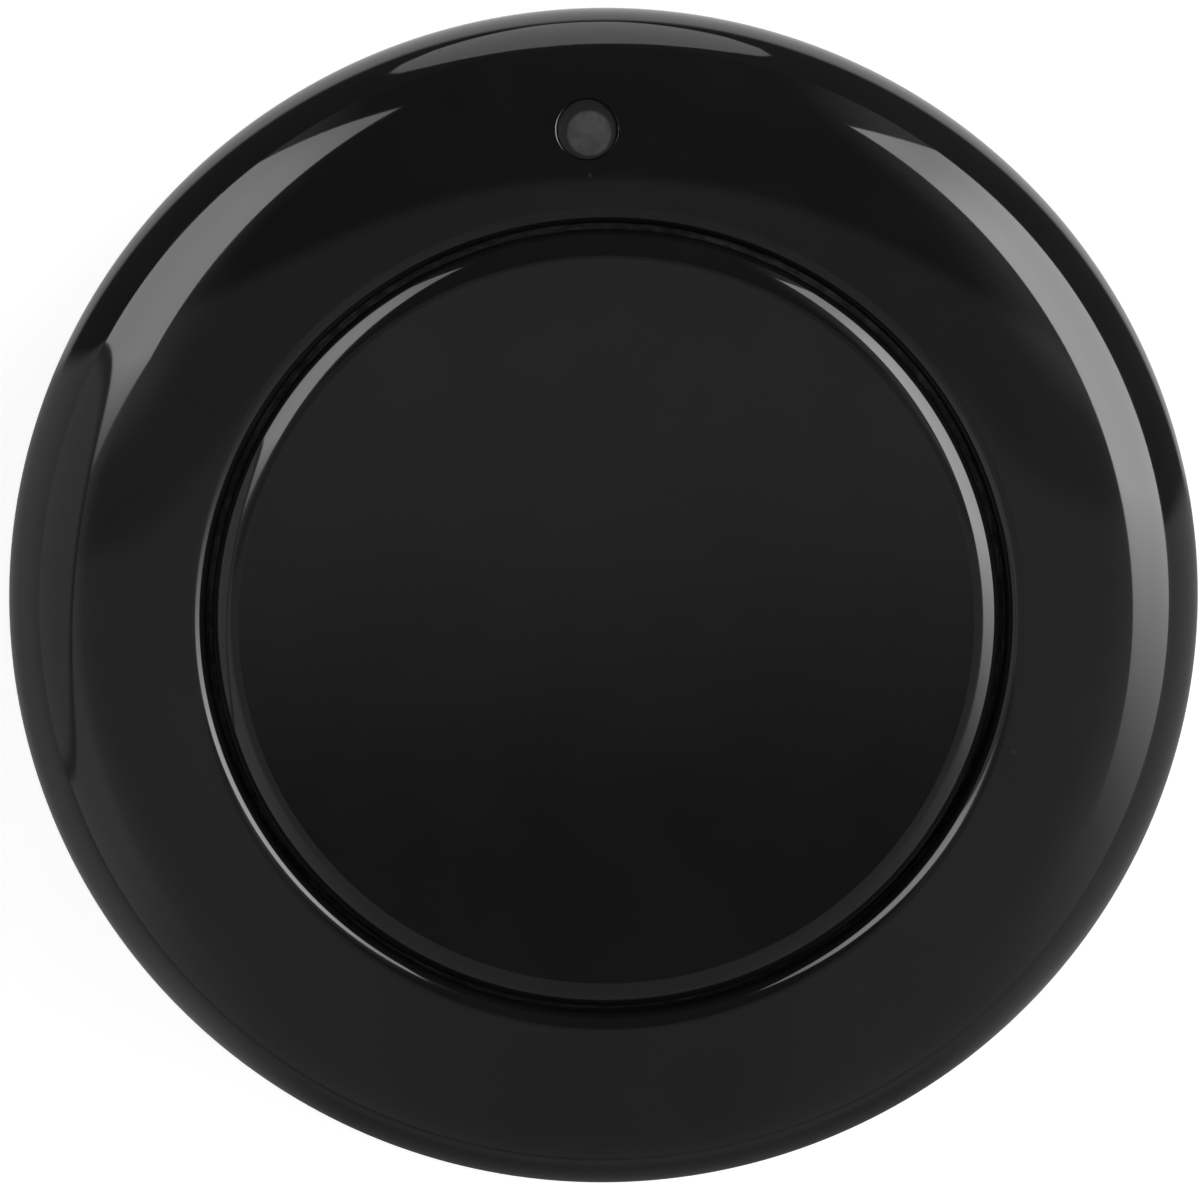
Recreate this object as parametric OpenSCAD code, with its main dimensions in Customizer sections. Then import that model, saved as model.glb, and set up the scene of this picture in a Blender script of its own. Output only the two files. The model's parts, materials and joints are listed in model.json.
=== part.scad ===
// Round one-button radio remote control. Two case shells hold a circuit board, a push switch under a
// large round button, an indicator light beside it, and a coin cell behind a twist-off door.
// Millimetres. Z runs up the button's axis from the flat back face, and Y points at the light.

/* [Case] */
// Diameter of the case at its widest circle
body_d = 60; // [59:0.25:64]
// Wall thickness of both shells
shell_wall = 2; // [1.7:0.1:2.2]
// Section radius of the gently domed ring round the button
dome_r = 20; // [16:0.5:24]
// Slope of the dome where it leaves the lip round the button
dome_tilt = 3.5; // [2.5:0.25:4.5]
// Section radius of the tighter shoulder outside the dome
shoulder_r = 5.8; // [5:0.1:6.4]
// Distance from the widest circle in to the flat back face's edge
base_inset = 5; // [4:0.25:6]
// Thickness of the rear shell's floor
base_floor = 1.6; // [1.4:0.1:2]
// Drop from the widest circle to the seam between the shells
seam_drop = 1.4; // [1:0.1:1.8]
// Width and depth of the shadow line at the seam
seam_line = 0.3; // [0.2:0.05:0.4]
// Thickness of the rear shell's locating tongue
tongue_t = 0.9; // [0.7:0.1:1.1]
// Height of the tongue above the seam
tongue_h = 1.5; // [1:0.1:2]
// Depth to which the tongue is rooted in the rear wall
tongue_root = 1.6; // [1.4:0.1:2]
// Gap between the tongue and the front shell
tongue_gap = 0.1; // [0.05:0.05:0.2]

/* [Button] */
// Width of the ring, from the widest circle in to the button's edge
ring_w = 10.4; // [9.8:0.1:11.4]
// Gap between the button and the ring
button_gap = 0.3; // [0.2:0.05:0.5]
// Height of the button's top above the ring's crest
button_proud = 0.2; // [0:0.05:0.4]
// Thickness of the button's top plate
button_plate = 1.6; // [1.4:0.1:1.8]
// Height of the button's skirt, from its top
skirt_h = 3.4; // [3.2:0.1:3.6]
// Thickness of the skirt
skirt_wall = 1.5; // [1.2:0.1:1.8]
// Radius of the round edge where it leaves the flat top
edge_top_r = 1.25; // [0.8:0.05:1.6]
// Radius of the round edge along its slope
edge_slope_r = 2.2; // [1.8:0.1:2.8]
// Radius of the round edge where it meets the side
edge_side_r = 0.5; // [0.3:0.05:0.7]
// Slopes at which the round edge passes from each radius to the next
edge_turns = [22, 45];
// How far the button goes down
button_travel = 0.4; // [0.3:0.05:0.5]
// Room left under the skirt when the button is down
stop_gap = 0.2; // [0.1:0.05:0.3]
// Diameter of the post that presses the switch
post_d = 5; // [4:0.25:6]
// Length of the post below the top plate
post_h = 0.6; // [0.5:0.05:0.8]
// Thickness of the ribs under the top plate
rib_t = 1; // [0.8:0.1:1.4]
// Depth of the ribs under the top plate
rib_h = 0.8; // [0.5:0.1:0.9]
// Distance of the snap legs from the inside of the skirt
leg_inset = 4.1; // [3.7:0.1:4.7]
// Width of a snap leg
leg_w = 4; // [3:0.25:5]
// Thickness of a snap leg
leg_t = 1.2; // [1:0.1:1.4]
// Reach of a snap leg's hook
hook_reach = 0.7; // [0.5:0.05:0.8]
// Height of a snap leg's hook
hook_h = 0.9; // [0.7:0.05:1]
// Gap round a leg in its slot
leg_gap = 0.2; // [0.15:0.05:0.3]
// Gap between a hook and the well's floor at rest
hook_gap = 0.05; // [0.02:0.01:0.1]

/* [Well] */
// Radius of the rounded lip round the button
lip_r = 0.95; // [0.75:0.05:1.1]
// Thickness of the wall round the well
well_wall = 1.4; // [1.2:0.1:1.6]
// Thickness of the well's floor
well_floor = 1.1; // [1:0.05:1.2]
// Gap between the switch's corners and the hole in the well's floor
switch_gap = 0.5; // [0.3:0.1:0.8]

/* [Light] */
// Distance of the light's window from the button's opening
light_inset = 4.7; // [4.5:0.05:5.1]
// Diameter of the window in the ring
window_d = 3.1; // [3:0.05:3.3]
// Wall of the collar under the window
collar_wall = 0.9; // [0.7:0.1:1.1]
// Length of the collar below the ring's inside
collar_h = 1.4; // [1:0.1:1.6]
// Diameter of the light's lens
lens_d = 2.85; // [2.6:0.05:2.9]
// Height of the lens from its flange to its top
lens_h = 5.3; // [4.8:0.1:5.4]
// Radius of the rounding round the lens's top
lens_round = 0.25; // [0.15:0.05:0.4]
// Height of the lens's top above the ring at the window's centre
lens_proud = 0; // [-0.1:0.05:0.2]
// Diameter of the light's flange
flange_d = 3.6; // [3.4:0.1:3.8]
// Thickness of the light's flange
flange_t = 1; // [0.8:0.1:1.2]
// How far the light stands off its window's centre, across and along
lens_shift = [0.02, -0.03];
// Thickness of a lead
lead_t = 0.5; // [0.4:0.05:0.6]
// Spacing of the two leads
lead_pitch = 2.54; // [2:0.02:2.6]
// Length of the leads below the board
lead_tail = 1.2; // [0.8:0.1:1.6]
// Gap round a lead in its hole
lead_gap = 0.1; // [0.05:0.05:0.2]

/* [Board] */
// Thickness of the circuit board
board_t = 1.6; // [1.4:0.1:1.8]
// Gap between the board's edge and the tongue
board_gap = 0.5; // [0.3:0.1:0.7]
// Width of the printed aerial
aerial_w = 0.6; // [0.5:0.05:0.7]
// Thickness of the printed aerial
aerial_t = 0.1; // [0.07:0.01:0.15]
// Distance of the aerial from the board's edge
aerial_inset = 0.3; // [0.2:0.05:0.4]
// Angle left free of the aerial round the light
aerial_break = 40; // [36:2:60]

/* [Switch] */
// Width of the switch
switch_w = 6; // [5.6:0.1:6.4]
// Height of the switch's stem above the board
switch_h = 5; // [4.9:0.05:5.2]
// Height of the switch's body, with its cover
switch_body_h = 3.5; // [3.3:0.05:3.6]
// Thickness of the switch's cover
cover_t = 0.25; // [0.2:0.05:0.3]
// Diameter of the stem
stem_d = 3.5; // [3.2:0.1:3.7]
// Diameter of the stem's flange
stem_flange_d = 4.6; // [4.4:0.1:4.8]
// Thickness of the stem's flange
stem_flange_t = 0.6; // [0.5:0.05:0.7]
// Gap between the stem and the parts round it
stem_gap = 0.1; // [0.05:0.05:0.15]
// Diameter of the hollow in the switch's base
hollow_d = 5; // [4.9:0.05:5.2]
// Thickness of the snap dome
snap_t = 0.1; // [0.08:0.01:0.12]
// Diameter of the nub under the stem
nub_d = 1.6; // [1.2:0.1:2]
// Diameter of the pegs that hold the cover
peg_d = 0.8; // [0.6:0.05:0.9]
// Distance of a peg from the base's edge
peg_inset = 0.65; // [0.6:0.05:0.75]
// Height of a peg above the cover
peg_h = 0.15; // [0.1:0.05:0.2]
// Width of a switch's foot
foot_w = 0.7; // [0.6:0.05:0.8]
// Thickness of a switch's foot
foot_t = 0.25; // [0.2:0.05:0.3]
// Reach of a foot from the base
foot_reach = 1.5; // [1.2:0.1:1.8]
// Spacing of the two feet on one side
foot_pitch = 4.5; // [4:0.1:4.6]

/* [Cell] */
// Diameter of the coin cell
cell_d = 20; // [19.8:0.05:20.2]
// Thickness of the coin cell
cell_h = 3.2; // [3:0.05:3.4]
// Thickness of the cell's can
can_t = 0.25; // [0.2:0.05:0.3]
// Width of the cell's insulating ring
ring_t = 0.5; // [0.4:0.05:0.6]
// Height of the cell's lid above the can's rim
lid_step = 0.4; // [0.3:0.05:0.5]
// Gap between the cell and the door
cell_play = 0.1; // [0.05:0.05:0.15]
// Gap round the cell in the door's tray
cell_gap = 0.3; // [0.2:0.05:0.4]
// Height left for the contacts between the cell and the board
contact_h = 1.2; // [1:0.05:1.4]
// Thickness of the contacts' metal
contact_t = 0.25; // [0.2:0.05:0.3]
// Width of the contacts
contact_w = 4; // [3:0.25:5]
// Length of the negative contact along the cell
contact_l = 8; // [7:0.25:9]
// Length of the positive contact's foot on the board
contact_foot = 3.4; // [3:0.1:4]
// Gap between the positive contact and the can
contact_gap = 0.05; // [0.02:0.01:0.1]

/* [Door] */
// Thickness of the door under the cell
door_t = 1.4; // [1.3:0.05:1.6]
// Depth of the door's face inside the back face
door_recess = 0.3; // [0.2:0.05:0.4]
// Wall of the tray that holds the cell
tray_wall = 1; // [0.9:0.05:1.1]
// Height of the tray's wall above the lugs
tray_rise = 0.15; // [0.1:0.05:0.2]
// Reach of the door's flange past the tray
door_flange = 1.7; // [1.6:0.05:1.9]
// Thickness of the door's flange
door_flange_t = 0.8; // [0.7:0.05:0.9]
// Gap round the door
door_gap = 0.2; // [0.15:0.05:0.25]
// Gap above and below the ledge that the door grips
grip_gap = 0.1; // [0.05:0.05:0.15]
// Thickness of the ledge that the door grips
ledge_t = 1.2; // [1:0.1:1.4]
// Reach of a lug past the tray
lug_reach = 1.4; // [1.2:0.05:1.5]
// Thickness of a lug
lug_t = 0.9; // [0.7:0.1:1]
// Angle that a lug covers
lug_angle = 24; // [18:1:28]
// Angle that the door turns to open
door_turn = 40; // [36:1:44]
// Angle that a stop covers
stop_angle = 5; // [4:1:8]
// Wall of the ring round the door's ledge
guard_wall = 1; // [0.8:0.1:1.2]
// Height of that ring above the ledge
guard_h = 1.6; // [1.2:0.1:1.8]
// Length of the coin slot
slot_l = 15; // [12:0.5:18]
// Width of the coin slot
slot_w = 1.8; // [1.6:0.1:2.2]
// Depth of the coin slot
slot_h = 0.8; // [0.6:0.05:0.9]
// Diameter of the alignment dots
dot_d = 1.2; // [1:0.1:1.4]
// Depth of the alignment dots
dot_h = 0.25; // [0.2:0.05:0.3]

/* [Screws] */
// Diameter of a screw's shank
screw_d = 2; // [1.8:0.05:2.2]
// Length of a screw under its head
screw_len = 9.5; // [8.5:0.25:10]
// Diameter of a screw's head
head_d = 3.8; // [3.5:0.1:4]
// Thickness of a screw's head
head_h = 1.5; // [1.3:0.1:1.7]
// Width of the cross recess in a screw's head
cross_w = 0.55; // [0.4:0.05:0.7]
// Depth of the cross recess in a screw's head
cross_h = 0.8; // [0.6:0.05:1]
// Depth of the pocket that hides a screw's head
pocket_h = 2.6; // [2.4:0.1:3]
// Gap round a screw's head in its pocket
pocket_gap = 0.3; // [0.2:0.05:0.4]
// Gap round a screw's shank where it passes freely
shank_gap = 0.15; // [0.1:0.05:0.2]
// Gap round a screw's shank in the boss that it bites into
bite_gap = 0.02; // [0.01:0.01:0.03]
// Room left above a screw's tip
tip_gap = 0.5; // [0.3:0.1:0.8]
// Diameter of the bosses in the front shell
boss_d = 5.2; // [4.8:0.1:5.6]
// Diameter of the posts in the rear shell
pillar_d = 6.4; // [6.2:0.1:6.8]
// Distance of the screws outside the button's opening
screw_out = 1.6; // [1.5:0.05:1.8]

/* [Small parts] */
// Middle of the code chip, across and along
chip_at = [0, -12];
// Width, length and height of the code chip
chip_size = [4.9, 3.9, 1.4];
// Height of a chip's body above the board
chip_lift = 0.1; // [0.05:0.05:0.15]
// Spacing of the code chip's pins
chip_pitch = 1.27; // [1.2:0.01:1.3]
// Width, reach and thickness of a pin of the code chip
chip_pin = [0.4, 1, 0.2];
// Height of a pin where it leaves the code chip
chip_pin_h = 0.8; // [0.6:0.05:1]
// Middle of the radio resonator, across and along
resonator_at = [9, -14.5];
// Width, length and height of the radio resonator
resonator_size = [5, 5, 1.1];
// Width, length and height of the resonator's lid
resonator_lid_size = [4.2, 4.2, 0.25];
// Middle of the transistor, across and along
transistor_at = [-8, -14.5];
// Width, length and height of the transistor
transistor_size = [2.9, 1.3, 1];
// Spacing of the transistor's pins
transistor_pitch = 0.95; // [0.9:0.01:1]
// Width, reach and height of a pin of the transistor
transistor_pin = [0.4, 0.6, 0.5];
// Distance of both rows of small parts from the switch's middle
row_y = 6.7; // [6.4:0.1:6.9]
// Width, length and height of a capacitor
capacitor_size = [0.8, 1.6, 0.8];
// Spacing of the capacitors
capacitor_pitch = 2; // [1.5:0.1:2.2]
// Width, length and height of a resistor
resistor_size = [0.8, 1.6, 0.45];
// Spacing of the resistors
resistor_pitch = 2.6; // [1.5:0.1:3]
// Length of a soldered end
end_l = 0.35; // [0.25:0.05:0.4]
// How far a soldered end stands out of its body
end_t = 0.03; // [0.02:0.01:0.05]
// Width, length and height of a coil
coil_size = [2, 1.25, 1];
// Distance of the coils from the middle, across
coil_x = 13; // [12:0.25:14]
// Distance of the coils from the middle, along
coil_y = 2; // [1:0.25:2.5]

/* [Hidden] */
$fn = 96;

// Overlap that carries a cut clear past a face
past = 1;
// Steps along each arc of the case's section and of the button's edge
dome_steps = 6;
shoulder_steps = 12;
under_steps = 10;
lip_steps = 6;
edge_steps = 3;

// Heights, stacked from the back face upwards
door_in = door_recess + door_t;
cell_z = door_in + cell_play;
cell_top = cell_z + cell_h;
board_z = cell_top + contact_h;
board_top = board_z + board_t;
stem_top = board_top + switch_h;
plate_z = stem_top + post_h;
button_top = plate_z + button_plate;
body_h = button_top - button_proud;
skirt_z = button_top - skirt_h;
floor_top = skirt_z - button_travel - stop_gap;
floor_z = floor_top - well_floor;

// Outside of the case, in section: a dome, a shoulder and an undercurve, each an arc that meets the next
rim_r = body_d / 2;
base_r = rim_r - base_inset;
button_r = rim_r - ring_w;
opening_r = button_r + button_gap;
crest_r = opening_r + lip_r;
lip_centre = [crest_r, body_h - lip_r];
dome_centre = lip_centre - (dome_r - lip_r) * [sin(dome_tilt), cos(dome_tilt)];
dome_angle = asin((rim_r - shoulder_r - dome_centre[0]) / (dome_r - shoulder_r));
rim_z = dome_centre[1] + (dome_r - shoulder_r) * cos(dome_angle);
under_r = (pow(rim_r - base_r, 2) + pow(rim_z, 2)) / (2 * (rim_r - base_r));
shoulder_centre = [rim_r - shoulder_r, rim_z];
under_centre = [rim_r - under_r, rim_z];
inner_floor = max(base_floor, rim_z - under_r + shell_wall);
seam_z = rim_z - seam_drop;
seam_r = under_centre[0] + sqrt(pow(under_r, 2) - pow(seam_drop, 2));
seam_inner_r = under_centre[0] + sqrt(pow(under_r - shell_wall, 2) - pow(seam_drop, 2));

// Height of the ring's outside above the back face, at a radius on its dome
function dome_z(r) = dome_centre[1] + sqrt(pow(dome_r, 2) - pow(r - dome_centre[0], 2));

// Board and screws
tongue_out = seam_inner_r - tongue_gap;
board_r = tongue_out - tongue_t - board_gap;
screw_r = opening_r + screw_out;
screw_angles = [30, 150, 270];
boss_top = body_h - shell_wall * 0.7;

// Light
light_r = opening_r + light_inset;
light_at = [lens_shift[0], light_r + lens_shift[1]];
lens_top = dome_z(light_r) + lens_proud;
light_z = lens_top - lens_h;
collar_r = window_d / 2 + collar_wall;
collar_z = dome_z(light_r) - shell_wall - collar_h;
lead_hole_d = lead_t * sqrt(2) + 2 * lead_gap;

// Button's edge in section: three arcs that meet smoothly
edge_step = (edge_slope_r - edge_side_r) * [sin(edge_turns[1]), cos(edge_turns[1])]
    - (edge_slope_r - edge_top_r) * [sin(edge_turns[0]), cos(edge_turns[0])];
edge_top_centre = [button_r - edge_side_r - edge_step[0], button_top - edge_top_r];
edge_slope_centre = edge_top_centre - (edge_slope_r - edge_top_r) * [sin(edge_turns[0]), cos(edge_turns[0])];
edge_side_centre = edge_top_centre + edge_step;

// Button legs
leg_r = button_r - skirt_wall - leg_inset;
leg_angles = [90, 210, 330];
rib_angles = [30, 150, 270];
rib_in = stem_d / 2 + switch_gap;
hook_top = floor_z - hook_gap;

// Switch
cover_z = board_top + switch_body_h - cover_t;
stem_flange_top = cover_z - stem_gap;
stem_flange_z = stem_flange_top - stem_flange_t;
snap_rise = button_travel;
hollow_z = stem_flange_z - button_travel - snap_rise;
snap_r = hollow_d / 2 - stem_gap;
snap_sphere = (pow(snap_r, 2) + pow(snap_rise, 2)) / (2 * snap_rise);
nub_z = hollow_z + snap_rise + snap_t;
peg_at = switch_w / 2 - peg_inset;

// Cell and door
cell_r = cell_d / 2;
tray_in = cell_r + cell_gap;
tray_out = tray_in + tray_wall;
flange_r = tray_out + door_flange;
ledge_z = door_recess + door_flange_t + grip_gap;
ledge_top = ledge_z + ledge_t;
ledge_r = tray_out + door_gap;
lug_z = ledge_top + grip_gap;
lug_top = lug_z + lug_t;
tray_top = lug_top + tray_rise;
lug_r = tray_out + lug_reach;
lug_angles = [60, 180, 300];
notch_angle = lug_angle + 4;
pocket_r = flange_r + door_gap;
guard_r = pocket_r + guard_wall;
dot_angle = 270;

// Middles of the small parts that stand in rows
capacitor_places = [for (i = [-2:2]) [i * capacitor_pitch, -row_y]];
resistor_places = [for (i = [-1.5:1.5]) [i * resistor_pitch, row_y]];
coil_places = [[-coil_x, coil_y], [coil_x, coil_y]];

// Points along an arc about centre, between two directions counted from straight up towards the right
function arc(centre, r, from, to, steps) = [
    for (i = [0:steps]) let (a = from + (to - from) * i / steps) centre + r * [sin(a), cos(a)]
];

// Points of a list after its first
function rest(points) = [for (i = [1:len(points) - 1]) points[i]];

// Slice of a disc about centre, between two directions counted from straight up towards the right
module sector(centre, r, from, to) {
    translate(centre) intersection() {
        circle(r);
        polygon([[0, 0], 2 * r * [sin(from), cos(from)], 2 * r * [sin(to), cos(to)]]);
    }
}

// Half section of the case, taken in from the outside by inset and cut off level below z_low
module case_section(inset, z_low) {
    low_angle = acos((z_low - rim_z) / (under_r - inset));
    polygon(concat(
        [[0, z_low], [0, body_h - inset]],
        arc(dome_centre, dome_r - inset, dome_tilt, dome_angle, dome_steps),
        rest(arc(shoulder_centre, shoulder_r - inset, dome_angle, 90, shoulder_steps)),
        rest(arc(under_centre, under_r - inset, 90, low_angle, under_steps))
    ));
}

// Rectangle between two radii and two heights, in the half section
module band(r_in, r_out, z_low, z_high) {
    translate([r_in, z_low]) square([r_out - r_in, z_high - z_low]);
}

// Ring between two radii and two heights
module ring(r_in, r_out, z_low, z_high) {
    rotate_extrude() band(r_in, r_out, z_low, z_high);
}

// Part of a ring, over an angle to both sides of a direction
module ring_part(r_in, r_out, z_low, z_high, middle, angle) {
    rotate([0, 0, middle - angle / 2]) rotate_extrude(angle = angle) band(r_in, r_out, z_low, z_high);
}

// Upright cylinder between two heights
module pole(d, z_low, z_high) {
    translate([0, 0, z_low]) cylinder(d = d, h = z_high - z_low);
}

// Block centred on a place, standing at a height
module block(at, size, z) {
    translate([at[0] - size[0] / 2, at[1] - size[1] / 2, z]) cube(size);
}

module at_screws() {
    for (a = screw_angles) rotate([0, 0, a]) translate([screw_r, 0, 0]) children();
}

module at_legs() {
    for (a = leg_angles) rotate([0, 0, a]) translate([leg_r, 0, 0]) children();
}

module at_leads() {
    for (side = [-1, 1]) translate([light_at[0] + side * lead_pitch / 2, light_at[1], 0]) children();
}

// Rounding of the lip, as the corner to be cut away
module lip_corner() {
    polygon(concat(
        arc(lip_centre, lip_r, -90, dome_tilt, lip_steps),
        [
            [crest_r + lip_r * sin(dome_tilt), body_h + past], [opening_r - past, body_h + past],
            [opening_r - past, body_h - lip_r]
        ]
    ));
}

module front_shell() {
    color([0.02, 0.02, 0.02]) difference() {
        union() {
            rotate_extrude() difference() {
                union() {
                    difference() {
                        case_section(0, 0);
                        case_section(shell_wall, inner_floor);
                        band(0, rim_r + past, -past, seam_z);
                    }
                    band(opening_r, opening_r + well_wall, floor_z, body_h - shell_wall / 2);
                    band(0, opening_r + well_wall, floor_z, floor_top);
                }
                band(0, opening_r, floor_top, body_h + past);
                lip_corner();
            }
            at_screws() pole(boss_d, board_top, floor_top);
            at_screws() difference() {
                pole(boss_d, floor_z, boss_top);
                translate([-screw_r, 0, 0]) pole(2 * opening_r + well_wall, floor_z - past, boss_top + past);
            }
            translate([0, light_r, 0]) pole(2 * collar_r, collar_z, lens_top - shell_wall / 2);
        }
        pole(switch_w * sqrt(2) + 2 * switch_gap, floor_z - past, floor_top + past);
        at_legs() block(
            [0, 0], [leg_t + 2 * leg_gap, leg_w + 2 * leg_gap, well_floor + 2 * past], floor_z - past
        );
        at_screws() pole(screw_d + 2 * bite_gap, board_top - past, pocket_h + screw_len + tip_gap);
        translate([0, light_r, 0]) pole(window_d, collar_z - past, body_h + past);
    }
}

module rear_shell() {
    color([0.03, 0.03, 0.03]) difference() {
        union() {
            rotate_extrude() difference() {
                union() {
                    difference() {
                        case_section(0, 0);
                        case_section(shell_wall, inner_floor);
                        band(0, rim_r + past, seam_z, body_h + past);
                    }
                    band(tongue_out - tongue_t, tongue_out, seam_z - tongue_root, seam_z + tongue_h);
                    band(ledge_r, guard_r, ledge_z, ledge_top);
                    band(pocket_r, guard_r, 0, ledge_top + guard_h);
                }
                band(0, pocket_r, -past, ledge_z);
                band(0, ledge_r, -past, ledge_top + past);
                band(seam_r - seam_line, rim_r + past, seam_z - seam_line, seam_z + past);
            }
            at_screws() pole(pillar_d, base_floor / 2, board_z);
            for (a = lug_angles) ring_part(
                ledge_r + door_gap, pocket_r + guard_wall / 2, ledge_top - ledge_t / 2, lug_top,
                a + lug_angle / 2 + stop_angle, stop_angle
            );
        }
        for (a = lug_angles) ring_part(
            ledge_r - past, lug_r + door_gap, ledge_z - past, ledge_top + past, a - door_turn, notch_angle
        );
        at_screws() pole(head_d + 2 * pocket_gap, -past, pocket_h);
        at_screws() pole(screw_d + 2 * shank_gap, 0, board_z + past);
        for (a = [dot_angle, dot_angle - door_turn]) rotate([0, 0, a])
            translate([guard_r + dot_d / 2, 0, 0]) pole(dot_d, -past, dot_h);
    }
}

module case_screws() {
    color([0.55, 0.56, 0.58]) at_screws() difference() {
        union() {
            pole(head_d, pocket_h - head_h, pocket_h);
            pole(screw_d, pocket_h - head_h / 2, pocket_h + screw_len);
        }
        for (turn = [0, 90]) rotate([0, 0, turn]) block(
            [0, 0], [head_d * 0.62, cross_w, cross_h + past], pocket_h - head_h - past
        );
    }
}

module button_cap() {
    color([0.02, 0.02, 0.02]) union() {
        rotate_extrude() polygon(concat(
            [
                [0, plate_z], [button_r - skirt_wall, plate_z], [button_r - skirt_wall, skirt_z],
                [button_r, skirt_z]
            ],
            arc(edge_side_centre, edge_side_r, 90, edge_turns[1], edge_steps),
            rest(arc(edge_slope_centre, edge_slope_r, edge_turns[1], edge_turns[0], edge_steps)),
            rest(arc(edge_top_centre, edge_top_r, edge_turns[0], 0, edge_steps)),
            [[0, button_top]]
        ));
        pole(post_d, stem_top, plate_z + button_plate / 2);
        for (a = rib_angles) rotate([0, 0, a]) translate([rib_in, -rib_t / 2, plate_z - rib_h])
            cube([button_r - skirt_wall / 2 - rib_in, rib_t, rib_h + button_plate / 2]);
        at_legs() rotate([90, 0, 0]) translate([0, 0, -leg_w / 2]) linear_extrude(leg_w) polygon([
            [-leg_t / 2, plate_z + button_plate / 2], [leg_t / 2, plate_z + button_plate / 2],
            [leg_t / 2, hook_top], [leg_t / 2 + hook_reach, hook_top],
            [leg_t / 2, hook_top - hook_h], [-leg_t / 2, hook_top - hook_h]
        ]);
    }
}

module battery_door() {
    color([0.03, 0.03, 0.03]) difference() {
        union() {
            rotate_extrude() difference() {
                union() {
                    band(0, flange_r, door_recess, door_recess + door_flange_t);
                    band(0, tray_out, door_recess, tray_top);
                }
                band(0, tray_in, door_in, tray_top + past);
            }
            for (a = lug_angles) ring_part(tray_out - tray_wall / 2, lug_r, lug_z, lug_top, a, lug_angle);
        }
        translate([0, 0, door_recess - past]) linear_extrude(slot_h + past) {
            square([slot_l - slot_w, slot_w], center = true);
            for (side = [-1, 1]) translate([side * (slot_l - slot_w) / 2, 0]) circle(d = slot_w);
        }
        rotate([0, 0, dot_angle]) translate([tray_out, 0, 0])
            pole(dot_d, door_recess - past, door_recess + dot_h);
    }
}

module circuit_board() {
    color([0.05, 0.28, 0.12]) difference() {
        pole(2 * board_r, board_z, board_top);
        at_screws() pole(screw_d + 2 * shank_gap, board_z - past, board_top + past);
        at_leads() pole(lead_hole_d, board_z - past, board_top + past);
    }
}

module printed_aerial() {
    aerial_out = board_r - aerial_inset;
    color([0.72, 0.45, 0.2]) ring_part(
        aerial_out - aerial_w, aerial_out, board_top, board_top + aerial_t, 270, 360 - aerial_break
    );
}

module switch_base() {
    color([0.05, 0.05, 0.05]) union() {
        difference() {
            block([0, 0], [switch_w, switch_w, cover_z - board_top], board_top);
            pole(hollow_d, hollow_z, cover_z + past);
        }
        for (x = [-peg_at, peg_at], y = [-peg_at, peg_at])
            translate([x, y, 0]) pole(peg_d, cover_z - cover_t, cover_z + cover_t + peg_h);
    }
}

module switch_cover() {
    color([0.75, 0.75, 0.72]) difference() {
        block([0, 0], [switch_w, switch_w, cover_t], cover_z);
        pole(stem_d + 2 * stem_gap, cover_z - past, cover_z + cover_t + past);
        for (x = [-peg_at, peg_at], y = [-peg_at, peg_at])
            translate([x, y, 0]) pole(peg_d + 2 * stem_gap, cover_z - past, cover_z + cover_t + past);
    }
}

// Thin disc, domed upwards, that clicks flat under the stem
module switch_snap_dome() {
    color([0.8, 0.8, 0.8]) rotate_extrude() intersection() {
        translate([0, hollow_z + snap_rise - snap_sphere]) difference() {
            circle(snap_sphere + snap_t);
            circle(snap_sphere);
        }
        band(0, snap_r, hollow_z, hollow_z + snap_rise + 2 * snap_t);
    }
}

module switch_stem() {
    color([0.06, 0.06, 0.06]) union() {
        pole(nub_d, nub_z, stem_flange_top);
        pole(stem_flange_d, stem_flange_z, stem_flange_top);
        pole(stem_d, stem_flange_z, stem_top);
    }
}

module switch_feet() {
    color([0.75, 0.75, 0.72])
        for (x = [-foot_pitch / 2, foot_pitch / 2], side = [0, 180])
            rotate([0, 0, side]) translate([x - foot_w / 2, switch_w / 2, board_top]) {
                cube([foot_w, foot_reach, foot_t]);
                cube([foot_w, foot_t, switch_body_h / 3]);
            }
}

module light_lens() {
    color([0.25, 0.25, 0.25]) translate([light_at[0], light_at[1], 0]) rotate_extrude() {
        band(0, flange_d / 2, light_z, light_z + flange_t);
        band(0, lens_d / 2, light_z, lens_top - lens_round);
        band(0, lens_d / 2 - lens_round, light_z, lens_top);
        sector([lens_d / 2 - lens_round, lens_top - lens_round], lens_round, 0, 90);
    }
}

module light_leads() {
    color([0.75, 0.75, 0.72])
        at_leads() block([0, 0], [lead_t, lead_t, light_z - board_z + lead_tail], board_z - lead_tail);
}

module cell_can() {
    color([0.75, 0.76, 0.78]) difference() {
        pole(cell_d, cell_z, cell_top - lid_step);
        pole(cell_d - 2 * can_t, cell_z + can_t, cell_top);
    }
}

module cell_ring() {
    color([0.2, 0.2, 0.2]) ring(cell_r - can_t - ring_t, cell_r - can_t, cell_z + can_t, cell_top - lid_step);
}

module cell_lid() {
    color([0.78, 0.79, 0.8]) pole(2 * (cell_r - can_t - ring_t), cell_z + can_t, cell_top);
}

module positive_contact() {
    blade_x = cell_r + contact_gap;
    color([0.85, 0.75, 0.4]) {
        translate([blade_x, -contact_w / 2, board_z - contact_t]) cube([contact_foot, contact_w, contact_t]);
        translate([blade_x, -contact_w / 2, tray_top + cell_gap])
            cube([contact_t, contact_w, board_z - tray_top - cell_gap]);
    }
}

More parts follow.
